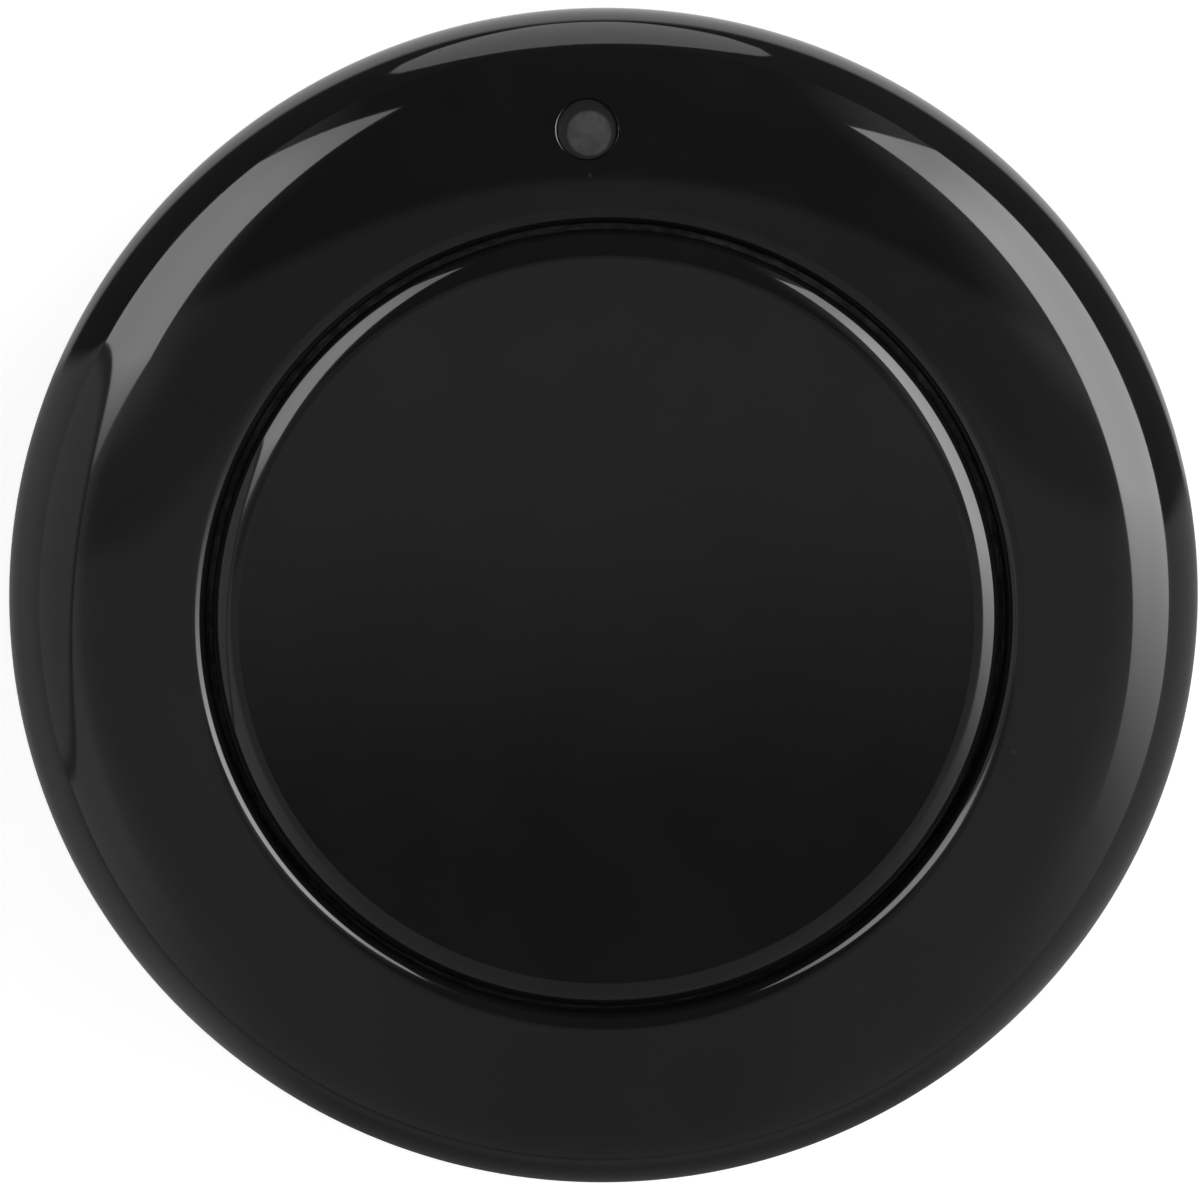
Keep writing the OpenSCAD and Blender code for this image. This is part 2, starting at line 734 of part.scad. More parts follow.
// Leaf folded back under its foot, with a flat pad on the cell's lid
module negative_contact() {
    half = contact_l / 2;
    pad = contact_l / 4;
    color([0.85, 0.75, 0.4]) rotate([90, 0, 90]) translate([0, 0, -contact_w / 2]) linear_extrude(contact_w)
        polygon([
            [-half, board_z], [half, board_z], [half, board_z - contact_t], [pad - half, board_z - contact_t],
            [half - pad, cell_top + contact_t], [half, cell_top + contact_t], [half, cell_top],
            [half - pad, cell_top], [-half, board_z - contact_t]
        ]);
}

module code_chip() {
    color([0.04, 0.04, 0.04]) block(chip_at, chip_size, board_top + chip_lift);
}

module code_chip_pins() {
    color([0.75, 0.75, 0.72])
        for (i = [-1.5:1.5], side = [-1, 1]) {
            at = [chip_at[0] + i * chip_pitch, chip_at[1] + side * (chip_size[1] + chip_pin[1]) / 2];
            root = [at[0], chip_at[1] + side * (chip_size[1] + chip_pin[2]) / 2];
            block(at, chip_pin, board_top);
            block(root, [chip_pin[0], chip_pin[2], chip_pin_h], board_top);
        }
}

module radio_resonator() {
    color([0.7, 0.65, 0.55]) block(resonator_at, resonator_size, board_top);
}

module resonator_lid() {
    color([0.85, 0.78, 0.5]) block(resonator_at, resonator_lid_size, board_top + resonator_size[2]);
}

module radio_transistor() {
    color([0.04, 0.04, 0.04]) block(transistor_at, transistor_size, board_top + chip_lift);
}

module transistor_pins() {
    reach = (transistor_size[1] + transistor_pin[1]) / 2;
    color([0.75, 0.75, 0.72])
        for (p = [[-transistor_pitch, -reach], [transistor_pitch, -reach], [0, reach]])
            block(transistor_at + p, transistor_pin, board_top);
}

// Body of a small chip part, between its two soldered ends
module chip_body(at, size) {
    block(at, [size[0], size[1] - 2 * end_l, size[2]], board_top);
}

module chip_ends(at, size) {
    for (side = [-1, 1])
        block(
            at + [0, side * (size[1] - end_l) / 2],
            [size[0] + 2 * end_t, end_l, size[2] + end_t],
            board_top
        );
}

module capacitor_bodies() {
    color([0.6, 0.45, 0.3]) for (at = capacitor_places) chip_body(at, capacitor_size);
}

module capacitor_ends() {
    color([0.8, 0.8, 0.78]) for (at = capacitor_places) chip_ends(at, capacitor_size);
}

module resistor_bodies() {
    color([0.05, 0.05, 0.05]) for (at = resistor_places) chip_body(at, resistor_size);
}

module resistor_ends() {
    color([0.8, 0.8, 0.78]) for (at = resistor_places) chip_ends(at, resistor_size);
}

module chip_coils() {
    color([0.25, 0.27, 0.3]) for (at = coil_places) block(at, coil_size, board_top);
}

front_shell();
rear_shell();
case_screws();
button_cap();
battery_door();
circuit_board();
printed_aerial();
switch_base();
switch_cover();
switch_snap_dome();
switch_stem();
switch_feet();
light_lens();
light_leads();
cell_can();
cell_ring();
cell_lid();
positive_contact();
negative_contact();
code_chip();
code_chip_pins();
radio_resonator();
resonator_lid();
radio_transistor();
transistor_pins();
capacitor_bodies();
capacitor_ends();
resistor_bodies();
resistor_ends();
chip_coils();
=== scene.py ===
"""Looks of a round one-button radio remote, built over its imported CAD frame.

Pieces are modelled in millimetres and brought to metres when they are finished. Z runs up the button's axis from
the flat back face, and Y points at the indicator light.
"""

import json
import logging
import math
from dataclasses import dataclass
from enum import Enum
from typing import Any, Callable, Iterable, Sequence

import bpy
from mathutils import Matrix, Vector


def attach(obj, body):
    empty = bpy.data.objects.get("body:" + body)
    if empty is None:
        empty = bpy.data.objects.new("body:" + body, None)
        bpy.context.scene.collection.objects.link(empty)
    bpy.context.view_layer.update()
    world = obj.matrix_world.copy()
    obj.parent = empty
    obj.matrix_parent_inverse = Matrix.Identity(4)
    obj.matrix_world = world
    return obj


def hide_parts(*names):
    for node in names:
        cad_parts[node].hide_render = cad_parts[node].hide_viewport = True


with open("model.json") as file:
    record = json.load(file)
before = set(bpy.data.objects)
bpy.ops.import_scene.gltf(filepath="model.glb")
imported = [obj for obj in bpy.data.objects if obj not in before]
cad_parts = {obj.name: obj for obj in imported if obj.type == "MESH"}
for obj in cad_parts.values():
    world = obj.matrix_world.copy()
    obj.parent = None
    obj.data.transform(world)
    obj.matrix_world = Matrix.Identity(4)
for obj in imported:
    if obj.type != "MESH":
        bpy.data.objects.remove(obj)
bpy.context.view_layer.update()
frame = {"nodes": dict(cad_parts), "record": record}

MM = 0.001
MERGE = 0.004  # points of a drawn mesh closer than this become one
WORK_MERGE = 0.0015  # the same, after a solid was added or cut
PAST = 1.0  # how far a cutting tool reaches past what it cuts
OFF_GRID = 0.0123  # turn, in radians, that keeps a tool's corners off those of what it works on
RING_STEPS = 0.83  # steps per degree in part of a ring
SHARP = math.radians(32)  # steeper edges are shaded sharp
LOG = logging.getLogger("remote")
Point = tuple[float, float]
Place = tuple[float, float, float]
Colour = tuple[float, float, float]
Angles = tuple[float, ...]
Object = bpy.types.Object
Socket = bpy.types.NodeSocket
Tree = bpy.types.NodeTree
Material = bpy.types.Material


class Body(Enum):
    """Moving bodies of the remote."""

    CASE = "case"
    BUTTON = "button"
    DOOR = "door"


class Slot(Enum):
    """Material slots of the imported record."""

    GLOSS_BLACK = "gloss_black"
    SATIN_BLACK = "satin_black"
    ZINC_STEEL = "zinc_steel"
    GREEN_LAMINATE = "green_laminate"
    BARE_COPPER = "bare_copper"
    BLACK_RESIN = "black_resin"
    TINNED_STEEL = "tinned_steel"
    FROSTED_LENS = "frosted_lens"
    NICKEL_STEEL = "nickel_steel"
    SEAL_PLASTIC = "seal_plastic"
    SPRING_BRONZE = "spring_bronze"
    PALE_CERAMIC = "pale_ceramic"
    TAN_CERAMIC = "tan_ceramic"
    GREY_FERRITE = "grey_ferrite"


class Relief(Enum):
    """Kinds of fine relief, by the name of their node group."""

    GRAIN = "moulded_grain"
    SCRATCHES = "fine_scratches"
    RINGS = "turned_rings"


class Join(Enum):
    """Ways in which one solid works on another."""

    ADD = "UNION"
    CUT = "DIFFERENCE"


# Modelling steps


def edit_all() -> None:
    """Go into edit mode with the whole mesh selected."""
    bpy.ops.object.mode_set(mode="EDIT")
    bpy.ops.mesh.select_all(action="SELECT")


def leave_edit() -> None:
    """Go back to object mode."""
    bpy.ops.object.mode_set(mode="OBJECT")


def clear_selection() -> None:
    """Leave edit mode and deselect everything."""
    if bpy.context.object is not None and bpy.context.object.mode != "OBJECT":
        leave_edit()
    bpy.ops.object.select_all(action="DESELECT")


def pick(*pieces: Object) -> None:
    """Select these pieces alone, with the first one active.

    Args:
        pieces: the pieces to select.
    """
    clear_selection()
    for piece in pieces:
        piece.select_set(True)
    bpy.context.view_layer.objects.active = pieces[0]


def settle(piece: Object) -> Object:
    """Put a piece's place, turn and scale into its mesh.

    Args:
        piece: the piece to settle.

    Returns:
        The same piece, sitting at the origin.
    """
    pick(piece)
    bpy.ops.object.transform_apply(location=True, rotation=True, scale=True)
    return piece


def to_metres(piece: Object) -> Object:
    """Bring a piece that was modelled in millimetres to its real size."""
    piece.scale = (MM, MM, MM)
    return settle(piece)


def arc(centre: Point, radius: float, start: float, end: float, steps: int) -> list[Point]:
    """Points along an arc in the half section.

    Args:
        centre: middle of the arc, as radius and height.
        radius: radius of the arc.
        start: first direction in degrees, counted from straight up towards the outside.
        end: last direction.
        steps: number of steps between them.

    Returns:
        The points, from start to end.
    """
    turns = [math.radians(start + (end - start) * i / steps) for i in range(steps + 1)]
    return [(centre[0] + radius * math.sin(a), centre[1] + radius * math.cos(a)) for a in turns]


def held(corner: Point, beside: Point, gap: float = 0.012) -> Point:
    """Point close to a corner on the way to the point beside it, which keeps the corner's line crisp."""
    share = gap / math.dist(corner, beside)
    return corner[0] + (beside[0] - corner[0]) * share, corner[1] + (beside[1] - corner[1]) * share


def eased(before: Point, corner: Point, after: Point, size: float, steps: int = 5) -> list[Point]:
    """Points that round a corner of the half section.

    Args:
        before: a point on the way into the corner.
        corner: the sharp corner.
        after: a point on the way out of it.
        size: distance from the corner at which the rounding starts and ends.
        steps: number of steps in the rounding.

    Returns:
        The points of the rounding.
    """
    at = Vector(corner)
    start, end = (at + (Vector(point) - at).normalized() * size for point in (before, after))
    shares = [i / steps for i in range(steps + 1)]
    return [tuple(start * (1 - t) ** 2 + at * (2 * t * (1 - t)) + end * t**2) for t in shares]


def rectangle(across: Point, along: Point) -> list[Point]:
    """Corners of a rectangle between two ends each way."""
    return [(across[0], along[0]), (across[1], along[0]), (across[1], along[1]), (across[0], along[1])]


def extrude(way: Sequence[float]) -> None:
    """Extrude what is selected, along a way."""
    bpy.ops.mesh.extrude_region_move(TRANSFORM_OT_translate={"value": way})


def draw(name: str, points: Sequence[Vector]) -> Object:
    """Draw a line of edges by extruding one vertex from point to point.

    Args:
        name: name of the new piece.
        points: the line's points.

    Returns:
        The new piece, in edit mode with everything selected.
    """
    clear_selection()
    bpy.ops.mesh.primitive_plane_add(size=1, location=(0, 0, 0))
    piece = bpy.context.object
    piece.name = piece.data.name = name
    edit_all()
    bpy.ops.mesh.merge(type="CENTER")
    bpy.ops.transform.translate(value=points[0])
    for here, there in zip(points, points[1:]):
        extrude(there - here)
    edit_all()
    return piece


def filled(name: str, outline: Sequence[Vector]) -> Object:
    """Draw a closed outline and fill it with one face.

    Args:
        name: name of the new piece.
        outline: the outline's corners.

    Returns:
        The new piece, still in edit mode.
    """
    piece = draw(name, [*outline, outline[0]])
    bpy.ops.mesh.remove_doubles(threshold=MERGE)
    bpy.ops.mesh.edge_face_add()
    return piece


def close_up(piece: Object) -> Object:
    """Merge a drawn mesh's doubles, turn its faces outwards and leave edit mode.

    Args:
        piece: the piece in edit mode.

    Returns:
        The same piece.
    """
    edit_all()
    bpy.ops.mesh.remove_doubles(threshold=MERGE)
    bpy.ops.mesh.normals_make_consistent(inside=False)
    leave_edit()
    return piece


def turned(name: str, profile: Sequence[Point], steps: int = 288) -> Object:
    """Spin a half section about Z into a closed solid.

    Args:
        name: name of the new piece.
        profile: the half section's points, closed, or with both ends on the axis.
        steps: number of steps round the axis.

    Returns:
        The new piece.
    """
    piece = draw(name, [Vector((r, 0, z)) for r, z in profile])
    bpy.ops.mesh.spin(steps=steps, angle=math.tau, center=(0, 0, 0), axis=(0, 0, 1))
    return close_up(piece)


def prism(name: str, outline: Sequence[Place], along: Place) -> Object:
    """Fill a flat outline and extrude it.

    Args:
        name: name of the new piece.
        outline: the outline's corners.
        along: the way and distance of the extrusion.

    Returns:
        The new piece.
    """
    piece = filled(name, [Vector(corner) for corner in outline])
    extrude(along)
    return close_up(piece)


def ring_part(name: str, radii: Point, heights: Point, middle: float, angle: float) -> Object:
    """Model part of a ring by spinning a rectangle through an angle.

    Args:
        name: name of the new piece.
        radii: inner and outer radius.
        heights: lowest and highest level.
        middle: direction of the part's middle, in degrees.
        angle: angle that it covers.

    Returns:
        The new piece.
    """
    piece = filled(name, [Vector((r, 0, z)) for r, z in rectangle(radii, heights)])
    steps = max(5, round(angle * RING_STEPS))
    bpy.ops.mesh.spin(steps=steps, angle=math.radians(angle), center=(0, 0, 0), axis=(0, 0, 1))
    close_up(piece)
    lowest = min(math.degrees(math.atan2(v.co.y, v.co.x)) for v in piece.data.vertices)
    piece.rotation_euler.z = math.radians(middle - angle / 2 - lowest)
    return settle(piece)


def bar(name: str, at: Point, radius: float, heights: Point, flare: Point = (0, 0), sides: int = 72) -> Object:
    """Model an upright round bar, flared at its foot where asked.

    Args:
        name: name of the new piece.
        at: place of its axis, across and along.
        radius: radius of the bar.
        heights: lowest and highest level.
        flare: extra radius at the foot, and the height over which it runs out.
        sides: number of sides.

    Returns:
        The new piece.
    """
    wide = radius + flare[0]
    foot = [(0, heights[0]), (wide, heights[0])]
    if flare[1]:
        foot += [(wide, -0.01), (radius + flare[0] * 0.3, flare[1] * 0.4), (radius, flare[1])]
    piece = turned(name, [*foot, (radius, heights[1]), (0, heights[1])], sides)
    edit_all()
    bpy.ops.mesh.dissolve_limited(angle_limit=math.radians(0.5))
    leave_edit()
    piece.rotation_euler.z = OFF_GRID
    piece.location = (*at, 0)
    return settle(piece)


def turned_copy(piece: Object, angle: float) -> Object:
    """Copy a piece and turn the copy about Z.

    Args:
        piece: the piece to copy.
        angle: the turn, in degrees.

    Returns:
        The copy.
    """
    copy = piece.copy()
    copy.data = piece.data.copy()
    bpy.context.collection.objects.link(copy)
    copy.rotation_euler.z = math.radians(angle)
    return settle(copy)


def round_about(piece: Object, angles: Iterable[float]) -> Object:
    """Copy a piece modelled at direction 0 to other directions about Z, and join the copies.

    Args:
        piece: the piece to copy, which is used up.
        angles: the directions, in degrees.

    Returns:
        One piece that holds all the copies.
    """
    pick(*[turned_copy(piece, angle) for angle in angles])
    bpy.ops.object.join()
    joined, name = bpy.context.object, piece.name
    bpy.data.objects.remove(piece)
    joined.name = joined.data.name = name
    return joined


def work(piece: Object, how: Join, *tools: Object) -> Object:
    """Add solids to a piece or cut them from it, one after the other.

    Args:
        piece: the piece that is worked on.
        how: whether the tools are added or cut.
        tools: the solids, which are used up.

    Returns:
        The worked piece.
    """
    for tool in tools:
        step = piece.modifiers.new(tool.name, "BOOLEAN")
        step.object, step.operation, step.solver = tool, how.value, "EXACT"
        pick(piece)
        bpy.ops.object.modifier_apply(modifier=step.name)
        edit_all()
        bpy.ops.mesh.remove_doubles(threshold=WORK_MERGE)
        leave_edit()
        bpy.data.objects.remove(tool)
    return piece


# Finishes


class Wiring:
    """Adds and links the nodes of one node tree. Its values are sockets or constants."""

    def __init__(self, tree: Tree) -> None:
        """Start on a tree that is already there."""
        self.tree = tree

    def add(self, kind: str, inputs: dict[str | int, Any] | None = None, **settings: Any) -> bpy.types.Node:
        """Add a node, set it up and feed its inputs.

        Args:
            kind: the node's type, without its ShaderNode prefix.
            inputs: socket name or number, and the value that feeds it.
            settings: the node's own settings.

        Returns:
            The new node.
        """
        node = self.tree.nodes.new(kind if kind.startswith("Node") else "ShaderNode" + kind)
        for name, value in settings.items():
            setattr(node, name, value)
        for name, value in (inputs or {}).items():
            socket = node.inputs[name]
            if isinstance(value, Socket):
                self.tree.links.new(value, socket)
            else:
                socket.default_value = (*value, 1) if socket.type == "RGBA" else value
        return node

    def sum(self, how: str, first: Any, second: Any = 0.0, clamp: bool = False) -> Socket:
        """Combine two values with a Math node's operation, held between 0 and 1 if clamp is set."""
        return self.add("Math", {0: first, 1: second}, operation=how, use_clamp=clamp).outputs[0]

    def times(self, first: Any, second: Any) -> Socket:
        """Multiply two values."""
        return self.sum("MULTIPLY", first, second)

    def spread(self, value: Socket, source: Point, target: Point = (0, 1), smooth: bool = True) -> Socket:
        """Carry a value from one range to another, easing in and out if smooth is set."""
        ends = dict(enumerate((value, *source, *target)))
        return self.add("MapRange", ends, interpolation_type="SMOOTHSTEP" if smooth else "LINEAR").outputs[0]

    def blend(self, share: Any, first: Any, second: Any) -> Socket:
        """Go from a first value to a second one by a share."""
        return self.sum("ADD", self.times(self.sum("SUBTRACT", 1, share), first), self.times(share, second))

    def tint(self, share: Any, first: Any, second: Any) -> Socket:
        """Mix a share of a second colour into a first one."""
        return self.add("Mix", {0: share, 6: first, 7: second}, data_type="RGBA").outputs[2]

    def length(self, way: Socket) -> Socket:
        """Length of a vector."""
        return self.add("VectorMath", {0: way}, operation="LENGTH").outputs["Value"]

    def off_axis(self, place: Socket, axis: Point = (0, 0)) -> Socket:
        """Distance of a place from an upright axis."""
        way = self.add("Mapping", {"Vector": place, "Location": (-axis[0], -axis[1], 0), "Scale": (1, 1, 0)})
        return self.length(way.outputs[0])

    def effect(self, tree: Tree, place: Socket, **values: float) -> Socket:
        """Add a shared effect, which is read at a place and has values of its own."""
        return self.add("Group", {"Place": place, **values}, node_tree=tree).outputs[0]

    def surface(self, shader: bpy.types.Node) -> None:
        """Make a shader the surface of the material."""
        self.add("OutputMaterial", {"Surface": shader.outputs[0]})


def blank(name: str) -> tuple[Material, Wiring]:
    """Make an empty material.

    Args:
        name: the material's name.

    Returns:
        The material and its wiring.
    """
    material = bpy.data.materials.new(name)
    material.use_nodes = True
    material.node_tree.nodes.clear()
    return material, Wiring(material.node_tree)


class Effects:
    """Shader node groups that several finishes share, each built once."""

    def __init__(self) -> None:
        """Build every group."""
        self.dust = self._group("dust_specks", self._dust, "Scale", "Share")
        self.haze = self._group("handled_haze", self._haze, "Scale")
        fills = {Relief.GRAIN: self._grain, Relief.SCRATCHES: self._scratches, Relief.RINGS: self._rings}
        self.relief = {kind: self._group(kind.value, fill, "Scale") for kind, fill in fills.items()}

    def _group(self, name: str, fill: Callable[..., Socket], *values: str) -> Tree:
        """Make a group with a place, some values and one result.

        Args:
            name: the group's name.
            fill: the method that wires its inside, from the sockets of the place and the values.
            values: names of its number inputs.

        Returns:
            The group.
        """
        tree = bpy.data.node_groups.new(name, "ShaderNodeTree")
        tree.interface.new_socket(name="Place", in_out="INPUT", socket_type="NodeSocketVector")
        for label in values:
            tree.interface.new_socket(name=label, in_out="INPUT", socket_type="NodeSocketFloat")
        tree.interface.new_socket(name="Result", in_out="OUTPUT", socket_type="NodeSocketFloat")
        wiring = Wiring(tree)
        given = [socket for socket in wiring.add("NodeGroupInput").outputs if socket.name]
        wiring.add("NodeGroupOutput", {"Result": fill(wiring, *given)})
        return tree

    @staticmethod
    def _dust(wiring: Wiring, place: Socket, scale: Socket, share: Socket) -> Socket:
        """Wire small specks, in a share of a scatter of cells."""
        cells = wiring.add("TexVoronoi", {"Vector": place, "Scale": scale})
        lucky = wiring.add("SeparateColor", {"Color": cells.outputs["Color"]})
        chosen = wiring.sum("LESS_THAN", lucky.outputs[0], share)
        size = wiring.spread(lucky.outputs[1], (0, 1), (0.02, 0.08), smooth=False)
        return wiring.times(chosen, wiring.sum("LESS_THAN", cells.outputs["Distance"], size))

    @staticmethod
    def _haze(wiring: Wiring, place: Socket, scale: Socket) -> Socket:
        """Wire soft patches, as handling leaves on a polished face."""
        noise = wiring.add("TexNoise", {"Vector": place, "Scale": scale, "Detail": 3.0})
        return wiring.spread(noise.outputs[0], (0.38, 0.68))

    @staticmethod
    def _scratches(wiring: Wiring, place: Socket, scale: Socket) -> Socket:
        """Wire hairline scratches that run in two directions."""
        lines = []
        for turn, width, patch_scale in ((0.5, 0.035, 170.0), (-0.9, 0.03, 114.0)):
            way = wiring.add("Mapping", {"Vector": place, "Rotation": (0, 0, turn), "Scale": (1, 14, 1)})
            noise = wiring.add("TexNoise", {"Vector": way.outputs[0], "Scale": scale, "Detail": 1.0})
            off = wiring.sum("ABSOLUTE", wiring.sum("SUBTRACT", noise.outputs[0], 0.5))
            patch = wiring.add("TexNoise", {"Vector": place, "Scale": patch_scale})
            there = wiring.spread(patch.outputs[0], (0.56, 0.66))
            lines.append(wiring.times(wiring.spread(off, (0, width), (1, 0)), there))
        return wiring.sum("MAXIMUM", *lines)

    @staticmethod
    def _grain(wiring: Wiring, place: Socket, scale: Socket) -> Socket:
        """Wire the fine texture of an etched mould."""
        cells = wiring.add("TexVoronoi", {"Vector": place, "Scale": scale}, feature="SMOOTH_F1")
        noise = wiring.add("TexNoise", {"Vector": place, "Scale": scale, "Detail": 2.0})
        return wiring.sum("ADD", wiring.times(cells.outputs["Distance"], 0.6), noise.outputs[0])

    @staticmethod
    def _rings(wiring: Wiring, place: Socket, scale: Socket) -> Socket:
        """Wire fine rings about Z, as on a turned or pressed face."""
        look = {"Vector": place, "Scale": scale, "Distortion": 1.5, "Detail": 3.0, "Detail Scale": 2.0}
        return wiring.add("TexWave", look, wave_type="RINGS", rings_direction="Z").outputs["Fac"]


@dataclass(frozen=True)
class Finish:
    """A finish of one kind of surface, with two tones, haze, specks and a fine relief.

    Scales count features in one metre, and relief is a depth in metres.
    """

    slot: Slot
    base: Colour
    second: Colour
    roughness: float
    rough_spread: float
    relief: float
    relief_scale: float = 4000.0
    tone_scale: float = 220.0
    haze_scale: float = 90.0
    metallic: float = 0.0
    dust: float = 0.0
    dust_scale: float = 900.0
    dust_tone: Colour = (0.040, 0.039, 0.037)
    dust_rough: float = 0.15
    texture: Relief = Relief.GRAIN

    def material(self, effects: Effects) -> Material:
        """Build the finish's material.

        Args:
            effects: the shared node groups.

        Returns:
            The material.
        """
        material, wiring = blank(self.slot.value + "_finish")
        place = wiring.add("TexCoord").outputs["Object"]
        haze = wiring.effect(effects.haze, place, Scale=self.haze_scale)
        rough = wiring.spread(haze, (0, 1), (self.roughness, self.roughness + self.rough_spread), smooth=False)
        colour = self.colour(wiring, effects, place)
        if self.dust:
            specks = wiring.effect(effects.dust, place, Scale=self.dust_scale, Share=self.dust)
            colour = wiring.tint(specks, colour, self.dust_tone)
            rough = wiring.sum("ADD", rough, wiring.times(specks, self.dust_rough), clamp=True)
        height = wiring.effect(effects.relief[self.texture], place, Scale=self.relief_scale)
        bump = wiring.add("Bump", {"Strength": 1.0, "Distance": self.relief, "Height": height}).outputs[0]
        look = {"Base Color": colour, "Metallic": self.metallic, "Roughness": rough, "Normal": bump}
        wiring.surface(wiring.add("BsdfPrincipled", look))
        return material

    def colour(self, wiring: Wiring, effects: Effects, place: Socket) -> Socket:
        """Wire the two tones of the surface."""
        tone = wiring.effect(effects.haze, place, Scale=self.tone_scale)
        return wiring.tint(tone, self.base, self.second)


@dataclass(frozen=True)
class PolishedFinish(Finish):
    """A mirror-moulded plastic, with hairline scratches in place of a grain and painted light in a round groove."""

    texture: Relief = Relief.SCRATCHES
    # painted light: pale grey walls in the groove's shade, and a near-white band at its foot that shows as a light
    # line
    groove: Point = (0.0193, 0.0204)
    groove_edge: float = 0.0002
    groove_depth: Point = (0.0130, 0.01415)
    groove_light_tone: Colour = (0.06, 0.06, 0.06)
    light_line_depth: Point = (0.0121, 0.0124)
    light_line_tone: Colour = (0.90, 0.90, 0.90)
    patch_scale: float = 1400.0
    patch_share: Point = (0.55, 1.0)

    def colour(self, wiring: Wiring, effects: Effects, place: Socket) -> Socket:
        """Wire the groove's painted light over the surface's own two tones."""
        clean = super().colour(wiring, effects, place)
        out, height = wiring.off_axis(place), wiring.add("SeparateXYZ", {0: place}).outputs[2]
        (inner, outer), edge = self.groove, self.groove_edge
        inside = wiring.times(
            wiring.spread(out, (inner - edge, inner)), wiring.spread(out, (outer - edge, outer + edge), (1, 0))
        )
        deep = wiring.spread(height, self.groove_depth, (1, 0))
        haze = wiring.effect(effects.haze, place, Scale=self.patch_scale)
        patch = wiring.spread(haze, (0, 1), self.patch_share, smooth=False)
        # painted light: deep in the groove the tone goes to pale grey, and to near white at its foot
        tone = wiring.tint(wiring.spread(height, self.light_line_depth, (1, 0)), self.groove_light_tone, self.light_line_tone)
        return wiring.tint(wiring.times(wiring.times(inside, deep), patch), clean, tone)


@dataclass(frozen=True)
class LaminateFinish(Finish):
    """Solder mask over copper tracks, which show through it as a lighter green."""

    track: Colour = (0.03, 0.26, 0.07)
    track_scale: float = 330.0

    def colour(self, wiring: Wiring, effects: Effects, place: Socket) -> Socket:
        """Wire the tracks under the mask's own two tones."""
        mask = super().colour(wiring, effects, place)
        gaps = {"Mortar Size": 0.09, "Mortar Smooth": 0.2, "Brick Width": 0.9, "Row Height": 0.42}
        lanes = wiring.add("TexBrick", {"Vector": place, "Scale": self.track_scale, **gaps})
        return wiring.tint(lanes.outputs["Fac"], mask, self.track)


@dataclass(frozen=True)
class LensFinish(Finish):
    """A frosted round window in a light, ringed off centre by near-black painted shade from the window's rim."""

    # middle and edge set the frosted disc off centre, so that the painted shade round it is a crescent
    middle: Point = (0.086e-3, 24.39e-3)
    edge: Point = (0.9936e-3, 1.1664e-3)
    # painted shade: near black for the shade in the gap under the window's rim
    body: Colour = (0.0015, 0.0015, 0.0016)

    def colour(self, wiring: Wiring, effects: Effects, place: Socket) -> Socket:
        """Wire the window's own two tones inside the near-black painted shade round it."""
        frost = super().colour(wiring, effects, place)
        return wiring.tint(wiring.spread(wiring.off_axis(place, self.middle), self.edge), frost, self.body)


FINISHES: tuple[Finish, ...] = (
    PolishedFinish(Slot.GLOSS_BLACK, (0.0042, 0.0042, 0.0044), (0.0050, 0.0050, 0.0052), 0.045, 0.035,
                   1.2e-7, 260.0, dust=0.04, dust_scale=700.0, dust_tone=(0.014, 0.0138, 0.0134)),
    Finish(Slot.SATIN_BLACK, (0.0095, 0.0095, 0.0100), (0.0125, 0.0125, 0.0130), 0.34, 0.12,
           1.1e-5, 3600.0, dust=0.015),
    LensFinish(Slot.FROSTED_LENS, (0.026, 0.027, 0.027), (0.041, 0.042, 0.042), 0.36, 0.10, 3e-6, 9000.0, 1900.0),
    Finish(Slot.ZINC_STEEL, (0.52, 0.53, 0.55), (0.60, 0.60, 0.60), 0.26, 0.16, 3e-6, 6000.0, 900.0, 1200.0, 1.0),
    LaminateFinish(Slot.GREEN_LAMINATE, (0.010, 0.110, 0.030), (0.014, 0.135, 0.040), 0.26, 0.12,
                   4e-6, 2500.0, 400.0),
    Finish(Slot.BARE_COPPER, (0.72, 0.36, 0.19), (0.62, 0.27, 0.13), 0.30, 0.18, 2e-6, 5000.0, 300.0, metallic=1.0),
    Finish(Slot.BLACK_RESIN, (0.016, 0.016, 0.017), (0.026, 0.026, 0.027), 0.48, 0.14, 8e-6, 7000.0, 1400.0),
    Finish(Slot.TINNED_STEEL, (0.66, 0.66, 0.63), (0.56, 0.56, 0.54), 0.24, 0.16, 3e-6, 5000.0, 900.0, metallic=1.0),
    Finish(Slot.NICKEL_STEEL, (0.62, 0.61, 0.58), (0.55, 0.54, 0.52), 0.22, 0.12,
           1.5e-6, 2200.0, 200.0, metallic=1.0, texture=Relief.RINGS),
    Finish(Slot.SEAL_PLASTIC, (0.05, 0.05, 0.052), (0.075, 0.075, 0.077), 0.46, 0.12, 6e-6, tone_scale=700.0),
    Finish(Slot.SPRING_BRONZE, (0.78, 0.58, 0.26), (0.68, 0.48, 0.20), 0.26, 0.14,
           2e-6, 5200.0, 350.0, metallic=1.0),
    Finish(Slot.PALE_CERAMIC, (0.55, 0.51, 0.43), (0.64, 0.60, 0.52), 0.40, 0.12, 5e-6, 6500.0, 900.0),
    Finish(Slot.TAN_CERAMIC, (0.33, 0.20, 0.10), (0.41, 0.27, 0.15), 0.36, 0.12, 4e-6, 8000.0, 1600.0),
    Finish(Slot.GREY_FERRITE, (0.055, 0.053, 0.052), (0.085, 0.082, 0.080), 0.55, 0.15, 1e-5, 6000.0, 1500.0),
)


# Pieces


